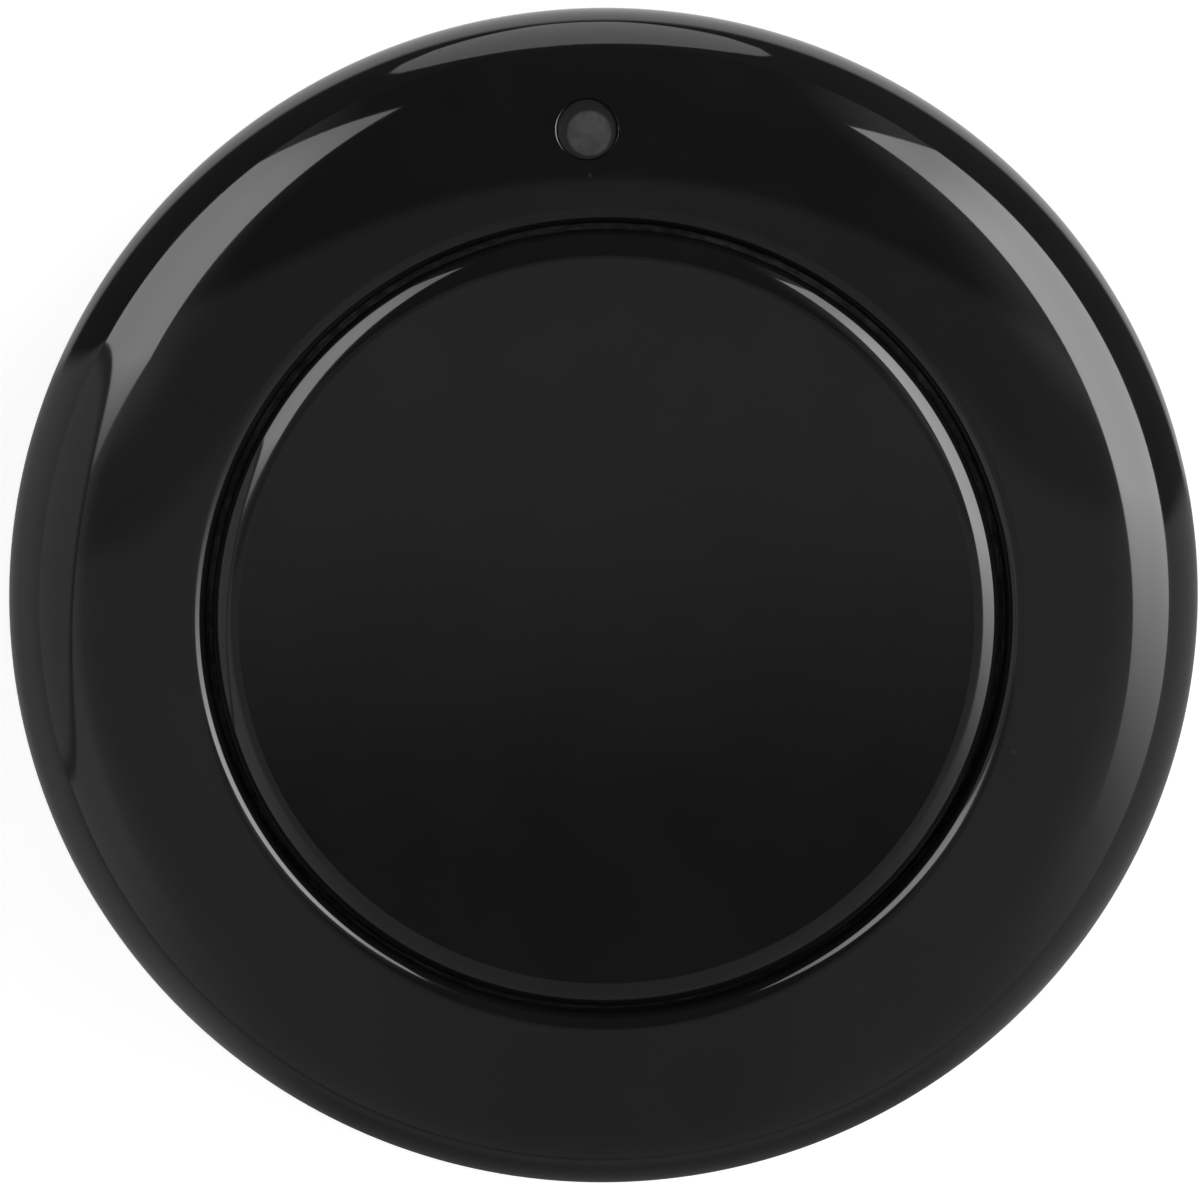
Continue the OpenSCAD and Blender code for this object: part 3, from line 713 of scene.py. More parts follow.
@dataclass(frozen=True)
class CaseForm:
    """Outside form of the case in section, and the sizes that several pieces share.

    A lip, a dome, a shoulder and an undercurve meet smoothly.
    """

    rim_r: float = 30.0
    base_r: float = 25.0
    body_h: float = 14.8
    dome_r: float = 20.0
    dome_tilt: float = 3.5
    shoulder_r: float = 5.8
    opening_r: float = 19.9
    lip_r: float = 0.95
    wall: float = 2.0
    base_floor: float = 1.6
    seam_drop: float = 1.4
    screw_r: float = 21.5
    screw_angles: Angles = (30, 150, 270)
    light_r: float = 24.6
    leg_r: float = 14.0
    leg_angles: Angles = (90, 210, 330)
    lug_angle: float = 24.0
    lug_angles: Angles = (60, 180, 300)
    dot_r: float = 0.6
    dot_depth: float = 0.25

    @property
    def lip_centre(self) -> Point:
        """Middle of the lip's rounding."""
        return self.opening_r + self.lip_r, self.body_h - self.lip_r

    @property
    def dome_centre(self) -> Point:
        """Middle of the dome's arc, which the lip meets at the dome's first slope."""
        (r, z), tilt = self.lip_centre, math.radians(self.dome_tilt)
        return r - (self.dome_r - self.lip_r) * math.sin(tilt), z - (self.dome_r - self.lip_r) * math.cos(tilt)

    @property
    def dome_angle(self) -> float:
        """Direction in which the dome meets the shoulder, in degrees from straight up."""
        run = self.rim_r - self.shoulder_r - self.dome_centre[0]
        return math.degrees(math.asin(run / (self.dome_r - self.shoulder_r)))

    @property
    def light_tilt(self) -> float:
        """Slope of the dome at the light, in radians."""
        return math.asin((self.light_r - self.dome_centre[0]) / self.dome_r)

    @property
    def light_top(self) -> float:
        """Height of the dome at the light."""
        return self.dome_centre[1] + self.dome_r * math.cos(self.light_tilt)

    @property
    def rim_z(self) -> float:
        """Height of the widest circle."""
        return self.dome_centre[1] + (self.dome_r - self.shoulder_r) * math.cos(math.radians(self.dome_angle))

    @property
    def under_r(self) -> float:
        """Section radius of the undercurve."""
        inset = self.rim_r - self.base_r
        return (inset**2 + self.rim_z**2) / (2 * inset)

    @property
    def seam_z(self) -> float:
        """Height of the seam between the shells."""
        return self.rim_z - self.seam_drop

    def dome(self, inset: float, start: float, end: float, steps: int) -> list[Point]:
        """Points along the dome, taken in by inset."""
        return arc(self.dome_centre, self.dome_r - inset, start, end, steps)

    def shoulder(self, inset: float, start: float, end: float, steps: int) -> list[Point]:
        """Points along the shoulder, taken in by inset."""
        return arc((self.rim_r - self.shoulder_r, self.rim_z), self.shoulder_r - inset, start, end, steps)

    def under(self, inset: float, start: float, end: float, steps: int) -> list[Point]:
        """Points along the undercurve, taken in by inset."""
        return arc((self.rim_r - self.under_r, self.rim_z), self.under_r - inset, start, end, steps)

    def under_angle(self, inset: float, z: float) -> float:
        """Direction on the undercurve, taken in by inset, at a height."""
        return math.degrees(math.acos((z - self.rim_z) / (self.under_r - inset)))

    def under_at(self, inset: float, z: float) -> Point:
        """Point of the undercurve, taken in by inset, at a height."""
        return self.under(inset, self.under_angle(inset, z), 90, 1)[0]


@dataclass
class Piece:
    """A sub-assembly that is modelled here and stands for a CAD node."""

    name: str
    node: str
    body: Body
    slot: Slot
    case: CaseForm = CaseForm()

    def build(self) -> Object:
        """Model the piece and give back its mesh object."""
        raise NotImplementedError

    def dress(self, mesh: Object, materials: dict[Slot, Material]) -> None:
        """Give the piece the finish of its slot."""
        mesh.data.materials.clear()
        mesh.data.materials.append(materials[self.slot])

    def make(self, materials: dict[Slot, Material]) -> None:
        """Build the piece, dress it, and tie it to the frame.

        Args:
            materials: the material of each slot.
        """
        mesh = to_metres(self.build())
        bpy.ops.object.shade_smooth_by_angle(angle=SHARP)
        mesh.name = mesh.data.name = self.name
        self.dress(mesh, materials)
        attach(mesh, self.body.value)
        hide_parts(self.node)
        LOG.info("%s: %d faces, on %s, for %s", self.name, len(mesh.data.polygons), self.body.value, self.node)


@dataclass
class RingShell(Piece):
    """The domed ring with the button's well inside it and the light's window in its top."""

    well_wall: float = 1.4
    well_round: float = 0.3
    well_sink: float = 0.4
    seam_round: float = 0.1
    crest_turn: float = 4.0
    floor_z: float = 9.9
    floor_top: float = 11.0
    hole_r: float = 4.743
    leg_slot: Point = (1.6, 4.4)
    boss_r: float = 2.6
    boss_z: Point = (7.8, 13.2)
    pilot_r: float = 1.02
    pilot_top: float = 12.6
    window_r: float = 1.5
    window_round: float = 0.13
    window_top: float = 16.0
    collar_r: float = 2.45
    collar_depth: float = 3.4
    collar_top: float = 13.3

    def profile(self) -> list[Point]:
        """Half section of the shell, from the seam up over the ring, through the well and back inside."""
        case, out, floor = self.case, self.case.opening_r + self.well_wall, self.floor_top
        low, low_in = case.under_angle(0, case.seam_z), case.under_angle(case.wall, case.seam_z)
        seam, seam_in = case.under_at(0, case.seam_z), case.under_at(case.wall, case.seam_z)
        rise = math.degrees(math.asin((out - case.dome_centre[0]) / (case.dome_r - case.wall)))
        ends, under = case.dome_angle, case.under(0, low, 90, 8)
        lip = arc(case.lip_centre, case.lip_r, -self.crest_turn, -90, 44)
        crest = math.degrees(math.asin((lip[0][0] - case.dome_centre[0]) / case.dome_r))
        dome = case.dome(0, ends, crest, 30)
        lift = dome[-1][1] - lip[0][1]
        lip = [(r, z + lift) for r, z in lip]
        return [
            seam_in, *eased(seam_in, seam, under[1], self.seam_round), *under[1:],
            *case.shoulder(0, 90, ends, 72)[1:],
            *dome[1:-1], held(dome[-1], dome[-2]),
            lip[0], held(lip[0], lip[1]), *lip[1:],
            *eased((case.opening_r, case.body_h), (case.opening_r, floor), (0, floor), self.well_round),
            (self.hole_r, floor), (self.hole_r, self.floor_z), (out, self.floor_z),
            *case.dome(case.wall, rise, ends, 8),
            *case.shoulder(case.wall, ends, 90, 18)[1:],
            *case.under(case.wall, 90, low_in, 4)[1:],
        ]

    def window_mouth(self) -> Object:
        """Model the rounded mouth of the window as a solid to cut away, square to the dome."""
        size, wide = self.window_round, self.window_r + self.window_round
        flare = arc((wide, -size), size, -90, 0, 8)
        mouth = turned("window_mouth", [(0, -size), *flare, (wide, PAST / 2), (0, PAST / 2)], 96)
        mouth.rotation_euler = (-self.case.light_tilt, 0, OFF_GRID * 2)
        mouth.location = (0, self.case.light_r, self.case.light_top)
        return settle(mouth)

    def build(self) -> Object:
        """Spin the shell, add its bosses and the light's collar, and cut its holes."""
        case, screw, light = self.case, (self.case.screw_r, 0), (0, self.case.light_r)
        shell = turned(self.name, self.profile())
        boss = bar("boss", screw, self.boss_r, self.boss_z)
        well_z = self.floor_top - self.well_sink, case.body_h
        well = bar("well", (0, 0), case.opening_r + self.well_wall / 2, well_z, sides=180)
        bosses = round_about(work(boss, Join.CUT, well), case.screw_angles)
        collar_z = case.light_top - self.collar_depth
        work(shell, Join.ADD, bosses, bar("collar", light, self.collar_r, (collar_z, self.collar_top)))
        across, along = (size / 2 for size in self.leg_slot)
        corners = rectangle((case.leg_r - across, case.leg_r + across), (-along, along))
        slot = prism("leg_slot", [(x, y, self.floor_z - PAST) for x, y in corners], (0, 0, 3 * PAST))
        pilot = bar("pilot", screw, self.pilot_r, (self.boss_z[0] - PAST, self.pilot_top), sides=48)
        window = bar("window", light, self.window_r, (collar_z - PAST, self.window_top), sides=96)
        slots, pilots = round_about(slot, case.leg_angles), round_about(pilot, case.screw_angles)
        return work(shell, Join.CUT, slots, pilots, window, self.window_mouth())


@dataclass
class ButtonCap(Piece):
    """The large flat button, with its round edge, skirt, snap legs and the post that presses the switch."""

    top: float = 15.0
    radius: float = 19.6
    plate: float = 1.6
    flat_rs: Angles = (5, 10, 14, 16.5)
    edge_rs: Angles = (1.25, 2.2, 0.5)
    edge_turns: Point = (22, 45)
    edge_gap: float = 0.04
    skirt_z: float = 11.6
    skirt_wall: float = 1.5
    skirt_round: float = 0.15
    post: Point = (2.5, 12.8)
    rib_in: float = 2.25
    rib: Point = (1.0, 12.6)
    rib_angles: Angles = (30, 150, 270)
    leg: Point = (1.2, 4.0)
    hook: Point = (0.7, 0.9)
    hook_top: float = 9.85

    def edge(self) -> list[Point]:
        """Points of the round edge from the flat top to the side: three arcs that meet smoothly."""
        line, turns = [(0.0, self.top)], (0, *self.edge_turns, 90)
        for radius, start, end in zip(self.edge_rs, turns, turns[1:]):
            (r, z), way = line[-1], math.radians(start)
            line += arc((r - radius * math.sin(way), z - radius * math.cos(way)), radius, start, end, 12)[1:]
        return [(r + self.radius - line[-1][0], z) for r, z in line]

    def profile(self) -> list[Point]:
        """Half section of the cap, from the middle of its top over its edge and the skirt to its underside."""
        edge, foot = self.edge(), (self.radius, self.skirt_z)
        inside, under = self.radius - self.skirt_wall, self.top - self.plate
        return [
            *[(r, self.top) for r in (0, *self.flat_rs, edge[0][0] - self.edge_gap)], *edge,
            *eased((self.radius, self.top), foot, (0, self.skirt_z), self.skirt_round),
            (inside, self.skirt_z), (inside, under), (0, under),
        ]

    def build(self) -> Object:
        """Spin the cap and add its post, ribs and snap legs."""
        cap = turned(self.name, self.profile())
        buried = self.top - self.plate / 2
        post = bar("post", (0, 0), self.post[0], (self.post[1], buried))
        width, low = self.rib
        corners = rectangle((self.rib_in, self.radius - self.skirt_wall / 2), (-width / 2, width / 2))
        rib = prism("rib", [(x, y, low) for x, y in corners], (0, 0, buried - low))
        half, wide = self.leg[0] / 2, self.leg[1]
        high, tip = self.hook_top, self.hook_top - self.hook[1]
        side = [(-half, buried), (half, buried), (half, high), (half + self.hook[0], high), (half, tip), (-half, tip)]
        leg = prism("leg", [(self.case.leg_r + x, -wide / 2, z) for x, z in side], (0, wide, 0))
        ribs, legs = round_about(rib, self.rib_angles), round_about(leg, self.case.leg_angles)
        return work(cap, Join.ADD, post, ribs, legs)


@dataclass
class RearShell(Piece):
    """The flat back, with its tongue, screw posts, and the pocket and ledge that hold the door."""

    tongue: Point = (0.1, 1.0)
    tongue_reach: Point = (1.6, 1.5)
    seam_line: float = 0.3
    seam_round: float = 0.06
    base_round: float = 0.6
    base_share: float = 1.05
    up_gap: float = 0.02
    floor_gap: float = 0.3
    pocket_r: float = 13.2
    pocket_round: float = 0.15
    guard_r: float = 14.2
    guard_top: float = 4.0
    ledge_r: float = 11.5
    ledge: Point = (1.2, 2.4)
    pillar_r: float = 3.2
    pillar_top: float = 6.2
    head_pocket: Point = (2.2, 2.6)
    head_flare: Point = (0.18, 0.18)
    shank_hole_r: float = 1.15
    door_turn: float = 40.0
    notch_r: float = 12.9
    notch_play: float = 4.0
    stop_angle: float = 5.0
    stop_in: Point = (0.2, 0.5)
    stop_z: Point = (1.8, 3.4)
    dot_flare: Point = (0.08, 0.08)
    dots_r: float = 14.8
    dot_angles: Angles = (270, 230)

    def profile(self) -> list[Point]:
        """Half section of the back, from its flat face up the undercurve, over the tongue and back inside."""
        case, groove, pocket = self.case, self.case.seam_z - self.seam_line, self.pocket_r
        line_r = case.under_at(0, case.seam_z)[0] - self.seam_line
        outer, inner = (case.under_at(case.wall, case.seam_z)[0] - gap for gap in self.tongue)
        tip, root = case.seam_z + self.tongue_reach[1], case.seam_z - self.tongue_reach[0]
        base, foot, top = (case.base_r, 0.0), case.under_at(0, self.base_round), case.under_at(0, groove)
        up = case.under(0, case.under_angle(0, self.base_round), case.under_angle(0, groove + self.up_gap), 44)
        ends = case.under_angle(case.wall, root), case.under_angle(case.wall, case.base_floor + self.floor_gap)
        return [
            *eased((pocket, 1), (pocket, 0), base, self.pocket_round),
            *eased((0, 0), base, foot, self.base_round * self.base_share, 8),
            *up[1:-1], *eased(up[-2], top, (0, groove), self.seam_round, 3),
            (line_r, groove), (line_r, case.seam_z),
            (outer, case.seam_z), (outer, tip), (inner, tip), (inner, root),
            *case.under(case.wall, *ends, 12), case.under_at(case.wall, case.base_floor),
            (self.guard_r, case.base_floor), (self.guard_r, self.guard_top), (pocket, self.guard_top),
            (pocket, self.ledge[1]), (self.ledge_r, self.ledge[1]), (self.ledge_r, self.ledge[0]),
            (pocket, self.ledge[0]), (pocket, self.pocket_round),
        ]

    def build(self) -> Object:
        """Spin the back, add its posts and stops, and cut its pockets, holes, notches and dots."""
        case, screw, (low, high) = self.case, (self.case.screw_r, 0), self.ledge
        shell = turned(self.name, self.profile())
        pillar = bar("pillar", screw, self.pillar_r, (case.base_floor / 2, self.pillar_top))
        stop_r = self.ledge_r + self.stop_in[0], self.pocket_r + self.stop_in[1]
        stop = ring_part("stop", stop_r, self.stop_z, case.lug_angle / 2 + self.stop_angle, self.stop_angle)
        work(shell, Join.ADD, round_about(pillar, case.screw_angles), round_about(stop, case.lug_angles))
        pocket = bar("pocket", screw, self.head_pocket[0], (-PAST, self.head_pocket[1]), self.head_flare)
        shank = bar("shank_hole", screw, self.shank_hole_r, (0, self.pillar_top + PAST), sides=48)
        notch = ring_part("notch", (self.ledge_r - PAST, self.notch_r), (low - PAST, high + PAST), -self.door_turn,
                          case.lug_angle + self.notch_play)
        dot = bar("dot", (self.dots_r, 0), case.dot_r, (-PAST, case.dot_depth), self.dot_flare, 36)
        tools = [(pocket, case.screw_angles), (shank, case.screw_angles), (notch, case.lug_angles),
                 (dot, self.dot_angles)]
        return work(shell, Join.CUT, *[round_about(tool, angles) for tool, angles in tools])


@dataclass
class BatteryDoor(Piece):
    """The twist-off door, with a tray for the cell, three lugs and a coin slot."""

    face_z: float = 0.3
    face_r: float = 9.5
    flange: Point = (13.0, 1.1)
    flange_round: float = 0.25
    tray_r: Point = (10.3, 11.3)
    tray_z: Point = (1.7, 3.55)
    tray_round: Point = (0.2, 0.12)
    lug_r: float = 12.7
    lug_root: float = 0.5
    lug_z: Point = (2.5, 3.4)
    coin_slot: Point = (15.0, 1.8)
    coin_depth: float = 0.8
    coin_flare: float = 0.12
    coin_past: Point = (0.001, 0.6)
    dot_at: Point = (0, -11.3)

    def profile(self) -> list[Point]:
        """Half section of the door, from the middle of its face round the flange and the tray."""
        (radius, back), face, (inner, outer), (bed, top) = self.flange, self.face_z, self.tray_r, self.tray_z
        return [
            (0, face), (self.face_r, face), *eased((0, face), (radius, face), (radius, back), self.flange_round, 6),
            (radius, back), (outer, back),
            *eased((outer, back), (outer, top), (0, top), self.tray_round[1], 3),
            *eased((outer, top), (inner, top), (inner, bed), self.tray_round[0], 3),
            (inner, bed), (0, bed),
        ]

    def slot_tool(self) -> Object:
        """Model the coin slot as a solid with round ends and a flared mouth."""
        (length, width), flare = self.coin_slot, self.coin_flare
        run, radius = (length - width) / 2, width / 2
        turns = [math.radians(-90 + 180 * i / 16) for i in range(17)]
        right = [(run + radius * math.cos(a), radius * math.sin(a)) for a in turns]
        outline = right + [(-x, -y) for x, y in right]
        bottom = self.face_z + self.coin_depth
        tool = prism("coin_slot", [(x, y, bottom) for x, y in outline], (0, 0, flare - self.coin_depth))
        pick(tool)
        bpy.ops.object.mode_set(mode="EDIT")
        bpy.ops.mesh.select_mode(type="FACE")
        bpy.ops.mesh.select_all(action="DESELECT")
        leave_edit()
        for face in tool.data.polygons:
            face.select = face.normal.z < -0.9
        bpy.ops.object.mode_set(mode="EDIT")
        extrude((0, 0, -flare - self.coin_past[0]))
        bpy.ops.transform.resize(value=(1 + 2 * flare / length, 1 + 2 * flare / width, 1))
        extrude((0, 0, -self.coin_past[1]))
        bpy.ops.mesh.select_mode(type="VERT")
        return close_up(tool)

    def build(self) -> Object:
        """Spin the door, add its lugs, and cut its coin slot and dot."""
        case = self.case
        door = turned(self.name, self.profile(), 216)
        lug = ring_part("lug", (self.tray_r[1] - self.lug_root, self.lug_r), self.lug_z, 0, case.lug_angle)
        work(door, Join.ADD, round_about(lug, case.lug_angles))
        dot = bar("dot", self.dot_at, case.dot_r, (-PAST, self.face_z + case.dot_depth), sides=36)
        return work(door, Join.CUT, self.slot_tool(), dot)


@dataclass
class LightLens(Piece):
    """The indicator light, with its flange, and with a top that follows the ring's slope."""

    radius: float = 1.48
    length: float = 5.3
    flange: Point = (1.8, 1.0)
    flange_cut: float = 0.1
    sunk: float = 0.15
    edge_round: float = 0.05

    def build(self) -> Object:
        """Spin the light, move it under its window, and cut and round its top."""
        (reach, thick), cut, top = self.flange, self.flange_cut, self.case.light_top
        foot, tilt = top - self.length, self.case.light_tilt
        lens = turned(self.name, [
            (0, foot), (reach - cut, foot), (reach, foot + cut), (reach, foot + thick - cut),
            (reach - cut, foot + thick), (self.radius, foot + thick), (self.radius, top + PAST), (0, top + PAST),
        ], 96)
        lens.location.y = self.case.light_r
        settle(lens)
        edit_all()
        bpy.ops.mesh.bisect(
            plane_co=(0, self.case.light_r, top - self.sunk), plane_no=(0, math.sin(tilt), math.cos(tilt)),
            use_fill=True, clear_outer=True,
        )
        bpy.ops.mesh.bevel(offset=self.edge_round, segments=3, affect="EDGES")
        leave_edit()
        return lens


@dataclass
class CaseScrews(Piece):
    """The three pan-head screws that hold the shells together from the back."""

    head: Point = (1.9, 1.5)
    head_z: float = 1.1
    head_round: Point = (0.7, 0.1)
    shank_r: float = 1.0
    core_r: float = 0.74
    tip: Point = (0.35, 12.1)
    taper: float = 0.6
    pitch: float = 0.8
    thread: Point = (0.15, 0.5)
    cross: Point = (2.356, 0.55)
    cross_depth: float = 0.8
    cross_foot: float = 0.28

    def profile(self) -> list[Point]:
        """Half section of a screw, from the middle of its head to its tip."""
        (radius, height), low, (point_r, tip), core = self.head, self.head_z, self.tip, self.core_r
        seat = low + height
        line = [
            (0, low), *eased((0, low), (radius, low), (radius, seat), self.head_round[0], 8),
            *eased((radius, low), (radius, seat), (0, seat), self.head_round[1], 3), (self.shank_r, seat),
        ]
        z, (root, crest) = seat + self.pitch / 2, (self.pitch * share for share in self.thread)
        while z + self.pitch < tip - self.taper:
            line += [(core, z), (core, z + root), (self.shank_r, z + crest)]
            z += self.pitch
        return [*line, (core, z), (core, tip - self.taper), (point_r, tip), (0, tip)]

    def cross_tool(self) -> Object:
        """Model the cross recess as two tapered blades to cut away."""
        half, foot, width = self.cross[0] / 2, self.cross[0] * self.cross_foot, self.cross[1]
        low, deep = self.head_z, self.head_z + self.cross_depth
        out = low - PAST / 2
        side = [(-half, out), (half, out), (half, low), (foot, deep), (-foot, deep), (-half, low)]
        blade = prism("cross", [(x, -width / 2, z) for x, z in side], (0, width, 0))
        return work(blade, Join.ADD, turned_copy(blade, 90))

    def build(self) -> Object:
        """Spin one screw, cut its recess and copy it to its three places."""
        screw = work(turned(self.name, self.profile(), 48), Join.CUT, self.cross_tool())
        screw.location.x = self.case.screw_r
        return round_about(settle(screw), self.case.screw_angles)


# Studio


@dataclass(frozen=True)
class Softbox:
    """A flat softbox that stands upright beside the object.

    Its place and corners, along Y and up, are in millimetres. Its light starts and is full along Y at fade, and
    starts to dim and is dimmest at dim, both in metres.
    """

    name: str
    x: float
    corners: tuple[Point, ...]
    bright: float
    fade: Point
    dim: Point
    dimmest: float = 0.6
    foot: float = 0.82
    rise: Point = (0, 0.4)


@dataclass
class Studio:
    """The floor, the light round the object and the camera.

    The camera, the board's section and opening and the disc's half sizes are in millimetres, and the rest is in
    metres. A slope is a reflected way's run along Y for its rise, and a turn is its run across for that along Y.
    """

    camera_distance: float = 400.0
    camera_tilt: float = 9.8
    camera_turn: float = 4.15
    camera_roll: float = 2.21
    camera_aim: Place = (-0.195, 0.395, 8.35)
    lens: float = 237.74
    sensor: float = 36.0
    clip_start: float = 0.01
    floor_size: float = 6.0
    floor_tone: float = 0.66
    floor_lift: float = 0.66
    floor_drop: float = 0.02e-3
    tent_r: float = 1.5
    tent_foot: float = -0.01
    tent_least: float = 0.02
    tent_back: float = 0.33
    tent_top: float = 0.20
    tent_front: float = 0.05
    tent_side: float = 0.33
    back_slopes: Point = (-0.11, -0.05)
    front_slopes: Point = (0.105, 0.175)
    front_bow: Point = (0.12, -0.28)
    ahead_slopes: Point = (0.05, 0.20)
    side_turns: Point = (0.5, 1.6)
    side_tops: Point = (0.60, 0.82)
    halo_across: Point = (0.40, 0.64)
    halo: float = 0.40
    middle_turns: Point = (0.1, 0.5)
    middle_slopes: Point = (-0.4, -0.25)
    middle_dim: float = 0.06
    band_tops: Point = (-0.14, -0.215)
    band_feet: Point = (-0.33, -0.265)
    band_across: Point = (0.08, 0.13)
    band_dim: float = 0.26
    board_r: Point = (31, 1300)
    board_z: Point = (0.2, 0.5)
    board_opening: tuple[Point, ...] = (
        (3, 42.4), (12, 44.4), (16.6, 47.8), (20.7, 54.7), (24.8, 68.5), (29, 97.5), (31, 161), (18, 269)
    )
    # painted shade: tones and radii over which the board behind the object darkens close to it
    board_shade_tones: Point = (0.14, 0.30)
    board_shade_r: Point = (0.045, 0.12)
    board_back: Point = (0.46, 0.36)
    board_back_x: Point = (-0.05, 0.05)
    board_turns: Point = (0.45, 1.0)
    board_least: float = 0.001
    board_front: Point = (0.85, 0.06)
    board_front_r: Point = (0.0328, 0.0355)
    board_shift: float = -0.0065
    board_line: tuple[float, float, float] = (-0.45, 0.006, 0.06)
    board_blur: Point = (-0.0015, 0.0015)
    softboxes: tuple[Softbox, ...] = (
        Softbox("right_softbox", 500, ((-390, 458), (735, 470), (523, 0), (-390, 0)), 7.4,
                (-0.39, 0.01), (0.30, 0.55)),
        Softbox("left_softbox", -500, ((60, 400), (180, 675), (1211, 650), (600, 0), (60, 0)), 4.4,
                (-0.05, 0.20), (0.45, 1.00)),
    )
    disc: Point = (133, 240)
    disc_at: Place = (-0.3, 0, 0.012)
    disc_rim: Point = (0.70, 0.90)
    disc_bright: float = 0.58
    disc_dim: float = 0.6

    def build(self) -> None:
        """Set up the whole studio."""
        bpy.context.scene.view_settings.view_transform = "Standard"
        self.world()
        self.floor()
        self.tent()
        self.board()
        for box in self.softboxes:
            self.softbox(box)
        self.reflector()
        self.camera()

    def camera(self) -> None:
        """Place the camera above the remote, a little towards its light."""
        tilt, turn, roll = (math.radians(a) for a in (self.camera_tilt, self.camera_turn, self.camera_roll))
        back = Vector((-math.sin(tilt) * math.sin(turn), math.sin(tilt) * math.cos(turn), math.cos(tilt)))
        right = (-back).cross(Vector((math.sin(roll), math.cos(roll), 0))).normalized()
        axes = Matrix((right, back.cross(right), back)).transposed()
        clear_selection()
        place = (Vector(self.camera_aim) + back * self.camera_distance) * MM
        bpy.ops.object.camera_add(location=place, rotation=axes.to_euler())
        camera = bpy.context.object
        camera.data.lens = self.lens
        camera.data.sensor_width = self.sensor
        camera.data.clip_start = self.clip_start
        bpy.context.scene.camera = camera

    def world(self) -> None:
        """Make the surroundings plain white."""
        world = bpy.data.worlds.new("white_room")
        world.use_nodes = True
        world.node_tree.nodes["Background"].inputs["Color"].default_value = (1, 1, 1, 1)
        bpy.context.scene.world = world

    def cover(self, thing: Object, name: str) -> Wiring:
        """Give a part of the studio its own empty material.

        Args:
            thing: the part to cover.
            name: the material's name.

        Returns:
            The wiring of the new material.
        """
        material, wiring = blank(name)
        thing.data.materials.append(material)
        return wiring

    def hide(self, thing: Object, *rays: str) -> None:
        """Keep some kinds of rays from seeing a part of the studio."""
        for ray in rays:
            setattr(thing, "visible_" + ray, False)

    def floor(self) -> None:
        """Lay the pale floor, which takes shadows and is open from below."""
        clear_selection()
        bpy.ops.mesh.primitive_plane_add(size=self.floor_size, location=(0, 0, -self.floor_drop))
        floor = settle(bpy.context.object)
        floor.name = "floor"
        wiring = self.cover(floor, "pale_floor")
        path = wiring.add("LightPath").outputs
        seen = wiring.sum("MAXIMUM", path["Is Camera Ray"], path["Is Glossy Ray"])
        seen = wiring.sum("MAXIMUM", seen, path["Is Transmission Ray"])
        matt = wiring.add("BsdfDiffuse", {"Color": (self.floor_tone,) * 3})
        glow = wiring.add("Emission", {"Color": (1, 1, 1), "Strength": wiring.times(seen, self.floor_lift)})
        both = wiring.add("AddShader", {0: matt.outputs[0], 1: glow.outputs[0]})
        below = wiring.add("NewGeometry").outputs["Backfacing"]
        clear = wiring.add("BsdfTransparent")
        wiring.surface(wiring.add("MixShader", {0: below, 1: both.outputs[0], 2: clear.outputs[0]}))

    def tent(self) -> None:
        """Hang a light tent over the object, bright behind it and dark towards the camera's side."""
        clear_selection()
        bpy.ops.mesh.primitive_uv_sphere_add(segments=48, ring_count=24, radius=self.tent_r)
        tent = bpy.context.object
        tent.name = "light_tent"
        edit_all()
        bpy.ops.mesh.bisect(plane_co=(0, 0, self.tent_foot), plane_no=(0, 0, 1), clear_inner=True)
        leave_edit()
        wiring = self.cover(tent, "tent_cloth")
        spread, times, total = wiring.spread, wiring.times, wiring.sum
        place = wiring.add("TexCoord").outputs["Object"]
        way = wiring.add("VectorMath", {0: place}, operation="NORMALIZE").outputs[0]
        x, y, z = wiring.add("SeparateXYZ", {0: way}).outputs
        up = total("MAXIMUM", z, self.tent_least)
        slope, lean, across = total("DIVIDE", y, up), total("DIVIDE", x, up), total("ABSOLUTE", x)
        turn = total("DIVIDE", across, total("MAXIMUM", total("ABSOLUTE", y), self.tent_least))
        level = spread(slope, self.back_slopes, (self.tent_back, self.tent_top))
        bow = total("MAXIMUM", *[times(lean, share) for share in self.front_bow])
        edge = spread(total("SUBTRACT", slope, bow), self.front_slopes, (0, self.tent_top - self.tent_front))
        aside = times(spread(turn, self.side_turns, (0, self.tent_side)), spread(z, self.side_tops, (1, 0)))
        halo = spread(across, self.halo_across, (0, self.halo))
        aside = wiring.blend(spread(slope, self.ahead_slopes), aside, halo)
        middle = spread(turn, self.middle_turns, (self.middle_dim, 0))
        middle = times(middle, spread(slope, self.middle_slopes, (1, 0)))
        band = times(spread(slope, self.band_tops, (0, self.band_dim)), spread(slope, self.band_feet))
        band = times(band, spread(across, self.band_across, (1, 0)))
        dark = total("ADD", edge, total("ADD", band, middle))
        level = total("SUBTRACT", total("ADD", level, aside), dark)
        wiring.surface(wiring.add("Emission", {"Strength": level}))
        tent.active_material.cycles.emission_sampling = "NONE"
        self.hide(tent, "camera", "shadow")

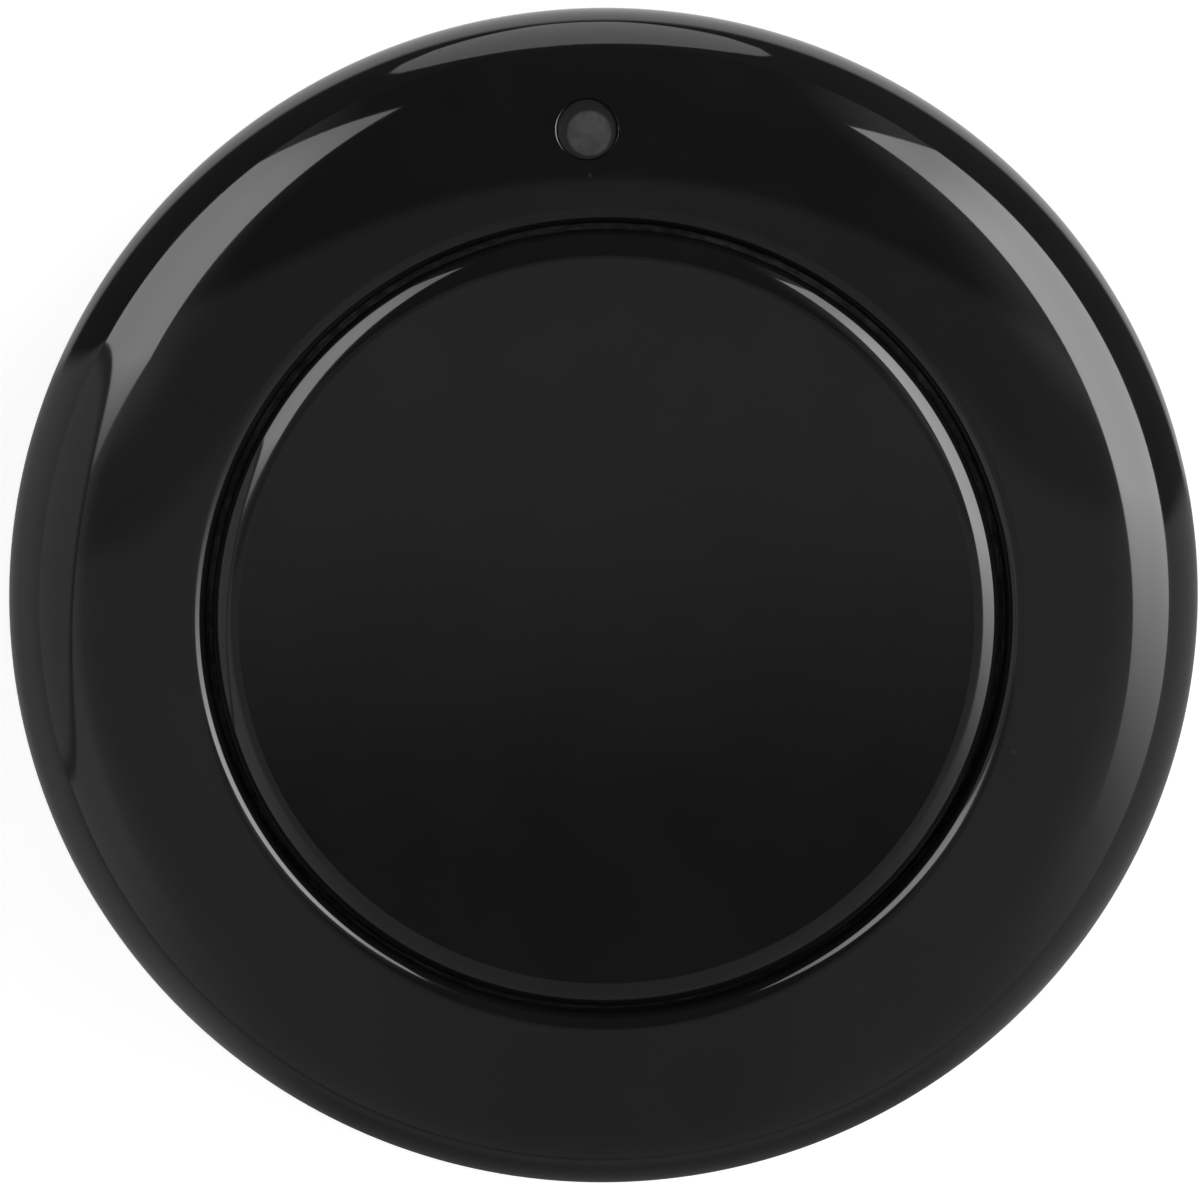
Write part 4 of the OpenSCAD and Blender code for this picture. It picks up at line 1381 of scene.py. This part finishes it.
    def board(self) -> None:
        """Lay a board round the object that only its reflections see: grey behind, dark and open at the light."""
        section = rectangle(self.board_r, self.board_z)
        board = turned("grey_board", [*section, section[0]], 96)
        corners = [*self.board_opening, *[(-x, y) for x, y in reversed(self.board_opening)]]
        opening = prism("opening", [(x, y, -PAST) for x, y in corners], (0, 0, 3 * PAST))
        to_metres(work(board, Join.CUT, opening))
        wiring = self.cover(board, "grey_card")
        spread, times, total = wiring.spread, wiring.times, wiring.sum
        place = wiring.add("TexCoord").outputs["Object"]
        x, y, _ = wiring.add("SeparateXYZ", {0: place}).outputs
        left, start, right = self.board_line
        line = total("MAXIMUM", times(x, left), total("SUBTRACT", start, times(x, right)))
        ahead = spread(total("SUBTRACT", y, line), self.board_blur)
        out = wiring.length(place)
        shift = times(total("DIVIDE", y, out), self.board_shift)
        front = spread(total("ADD", out, shift), self.board_front_r, self.board_front)
        turn = total("DIVIDE", total("ABSOLUTE", x), total("MAXIMUM", total("ABSOLUTE", y), self.board_least))
        sides = spread(x, self.board_back_x, self.board_back)
        # painted shade: the board behind the object is darker close to it
        middle = spread(out, self.board_shade_r, self.board_shade_tones)
        back = wiring.blend(spread(turn, self.board_turns), middle, sides)
        wiring.surface(wiring.add("BsdfDiffuse", {"Color": wiring.blend(ahead, back, front)}))
        self.hide(board, "camera", "diffuse", "shadow", "transmission")

    def softbox(self, box: Softbox) -> None:
        """Stand a softbox beside the object.

        Args:
            box: the softbox's sizes and light.
        """
        front = to_metres(filled(box.name, [Vector((box.x, y, z)) for y, z in box.corners]))
        wiring = self.cover(front, box.name + "_cloth")
        y, z = wiring.add("SeparateXYZ", {0: wiring.add("TexCoord").outputs["Object"]}).outputs[1:]
        rising = wiring.spread(z, box.rise, (box.foot * box.bright, box.bright))
        level = wiring.times(rising, wiring.spread(y, box.dim, (1, box.dimmest)))
        glow = wiring.add("Emission", {"Strength": level})
        share = wiring.sum("POWER", wiring.spread(y, box.fade, smooth=False), 2)
        clear = wiring.add("BsdfTransparent")
        wiring.surface(wiring.add("MixShader", {0: share, 1: clear.outputs[0], 2: glow.outputs[0]}))
        self.hide(front, "camera", "shadow")

    def reflector(self) -> None:
        """Stand an oval grey reflector at the left, which only reflections see."""
        clear_selection()
        bpy.ops.mesh.primitive_circle_add(vertices=96, radius=MM, fill_type="NGON", rotation=(0, math.pi / 2, 0))
        disc = bpy.context.object
        disc.name = "oval_reflector"
        wide, high = self.disc
        disc.scale = (high, wide, 1)
        disc.location = self.disc_at
        settle(disc)
        wiring = self.cover(disc, "reflector_cloth")
        place = wiring.add("TexCoord").outputs["Object"]
        fit = {"Vector": place, "Location": [-at for at in self.disc_at], "Scale": (0, 1, 1)}
        _, y, z = wiring.add("SeparateXYZ", {0: wiring.add("Mapping", fit).outputs[0]}).outputs
        runs = [wiring.sum("DIVIDE", wiring.sum("ABSOLUTE", way), size * MM) for way, size in ((y, wide), (z, high))]
        out = wiring.sum("ADD", *[wiring.sum("POWER", run, 2) for run in runs])
        rim = wiring.spread(out, self.disc_rim, (0, self.disc_dim))
        level = wiring.times(wiring.sum("SUBTRACT", 1, rim), self.disc_bright)
        wiring.surface(wiring.add("Emission", {"Strength": level}))
        self.hide(disc, "camera", "diffuse", "shadow", "transmission")


PIECES: tuple[Piece, ...] = (
    RingShell("ring_shell", "front_shell", Body.CASE, Slot.GLOSS_BLACK),
    ButtonCap("press_button", "button_cap", Body.BUTTON, Slot.GLOSS_BLACK),
    LightLens("indicator_lens", "light_lens", Body.CASE, Slot.FROSTED_LENS),
    RearShell("back_shell", "rear_shell", Body.CASE, Slot.SATIN_BLACK),
    BatteryDoor("twist_door", "battery_door", Body.DOOR, Slot.SATIN_BLACK),
    CaseScrews("back_screws", "case_screws", Body.CASE, Slot.ZINC_STEEL),
)


def dress_frame(materials: dict[Slot, Material]) -> None:
    """Give every CAD node that stays its slot's material.

    Args:
        materials: the material of each slot.
    """
    for entry in frame["record"]["subparts"]:
        node, slot = frame["nodes"][entry["node"]], Slot(entry["material_slot"])
        if not node.material_slots:
            node.data.materials.append(materials[slot])
        for place in node.material_slots:
            place.material = materials[slot]
        LOG.info("%s: CAD solid in %s", entry["node"], slot.value)


def main() -> None:
    """Build the studio and every piece in order."""
    logging.basicConfig(level=logging.INFO, format="%(name)s %(message)s")
    Studio().build()
    effects = Effects()
    materials = {finish.slot: finish.material(effects) for finish in FINISHES}
    dress_frame(materials)
    for piece in PIECES:
        piece.make(materials)


if __name__ == "__main__":
    main()
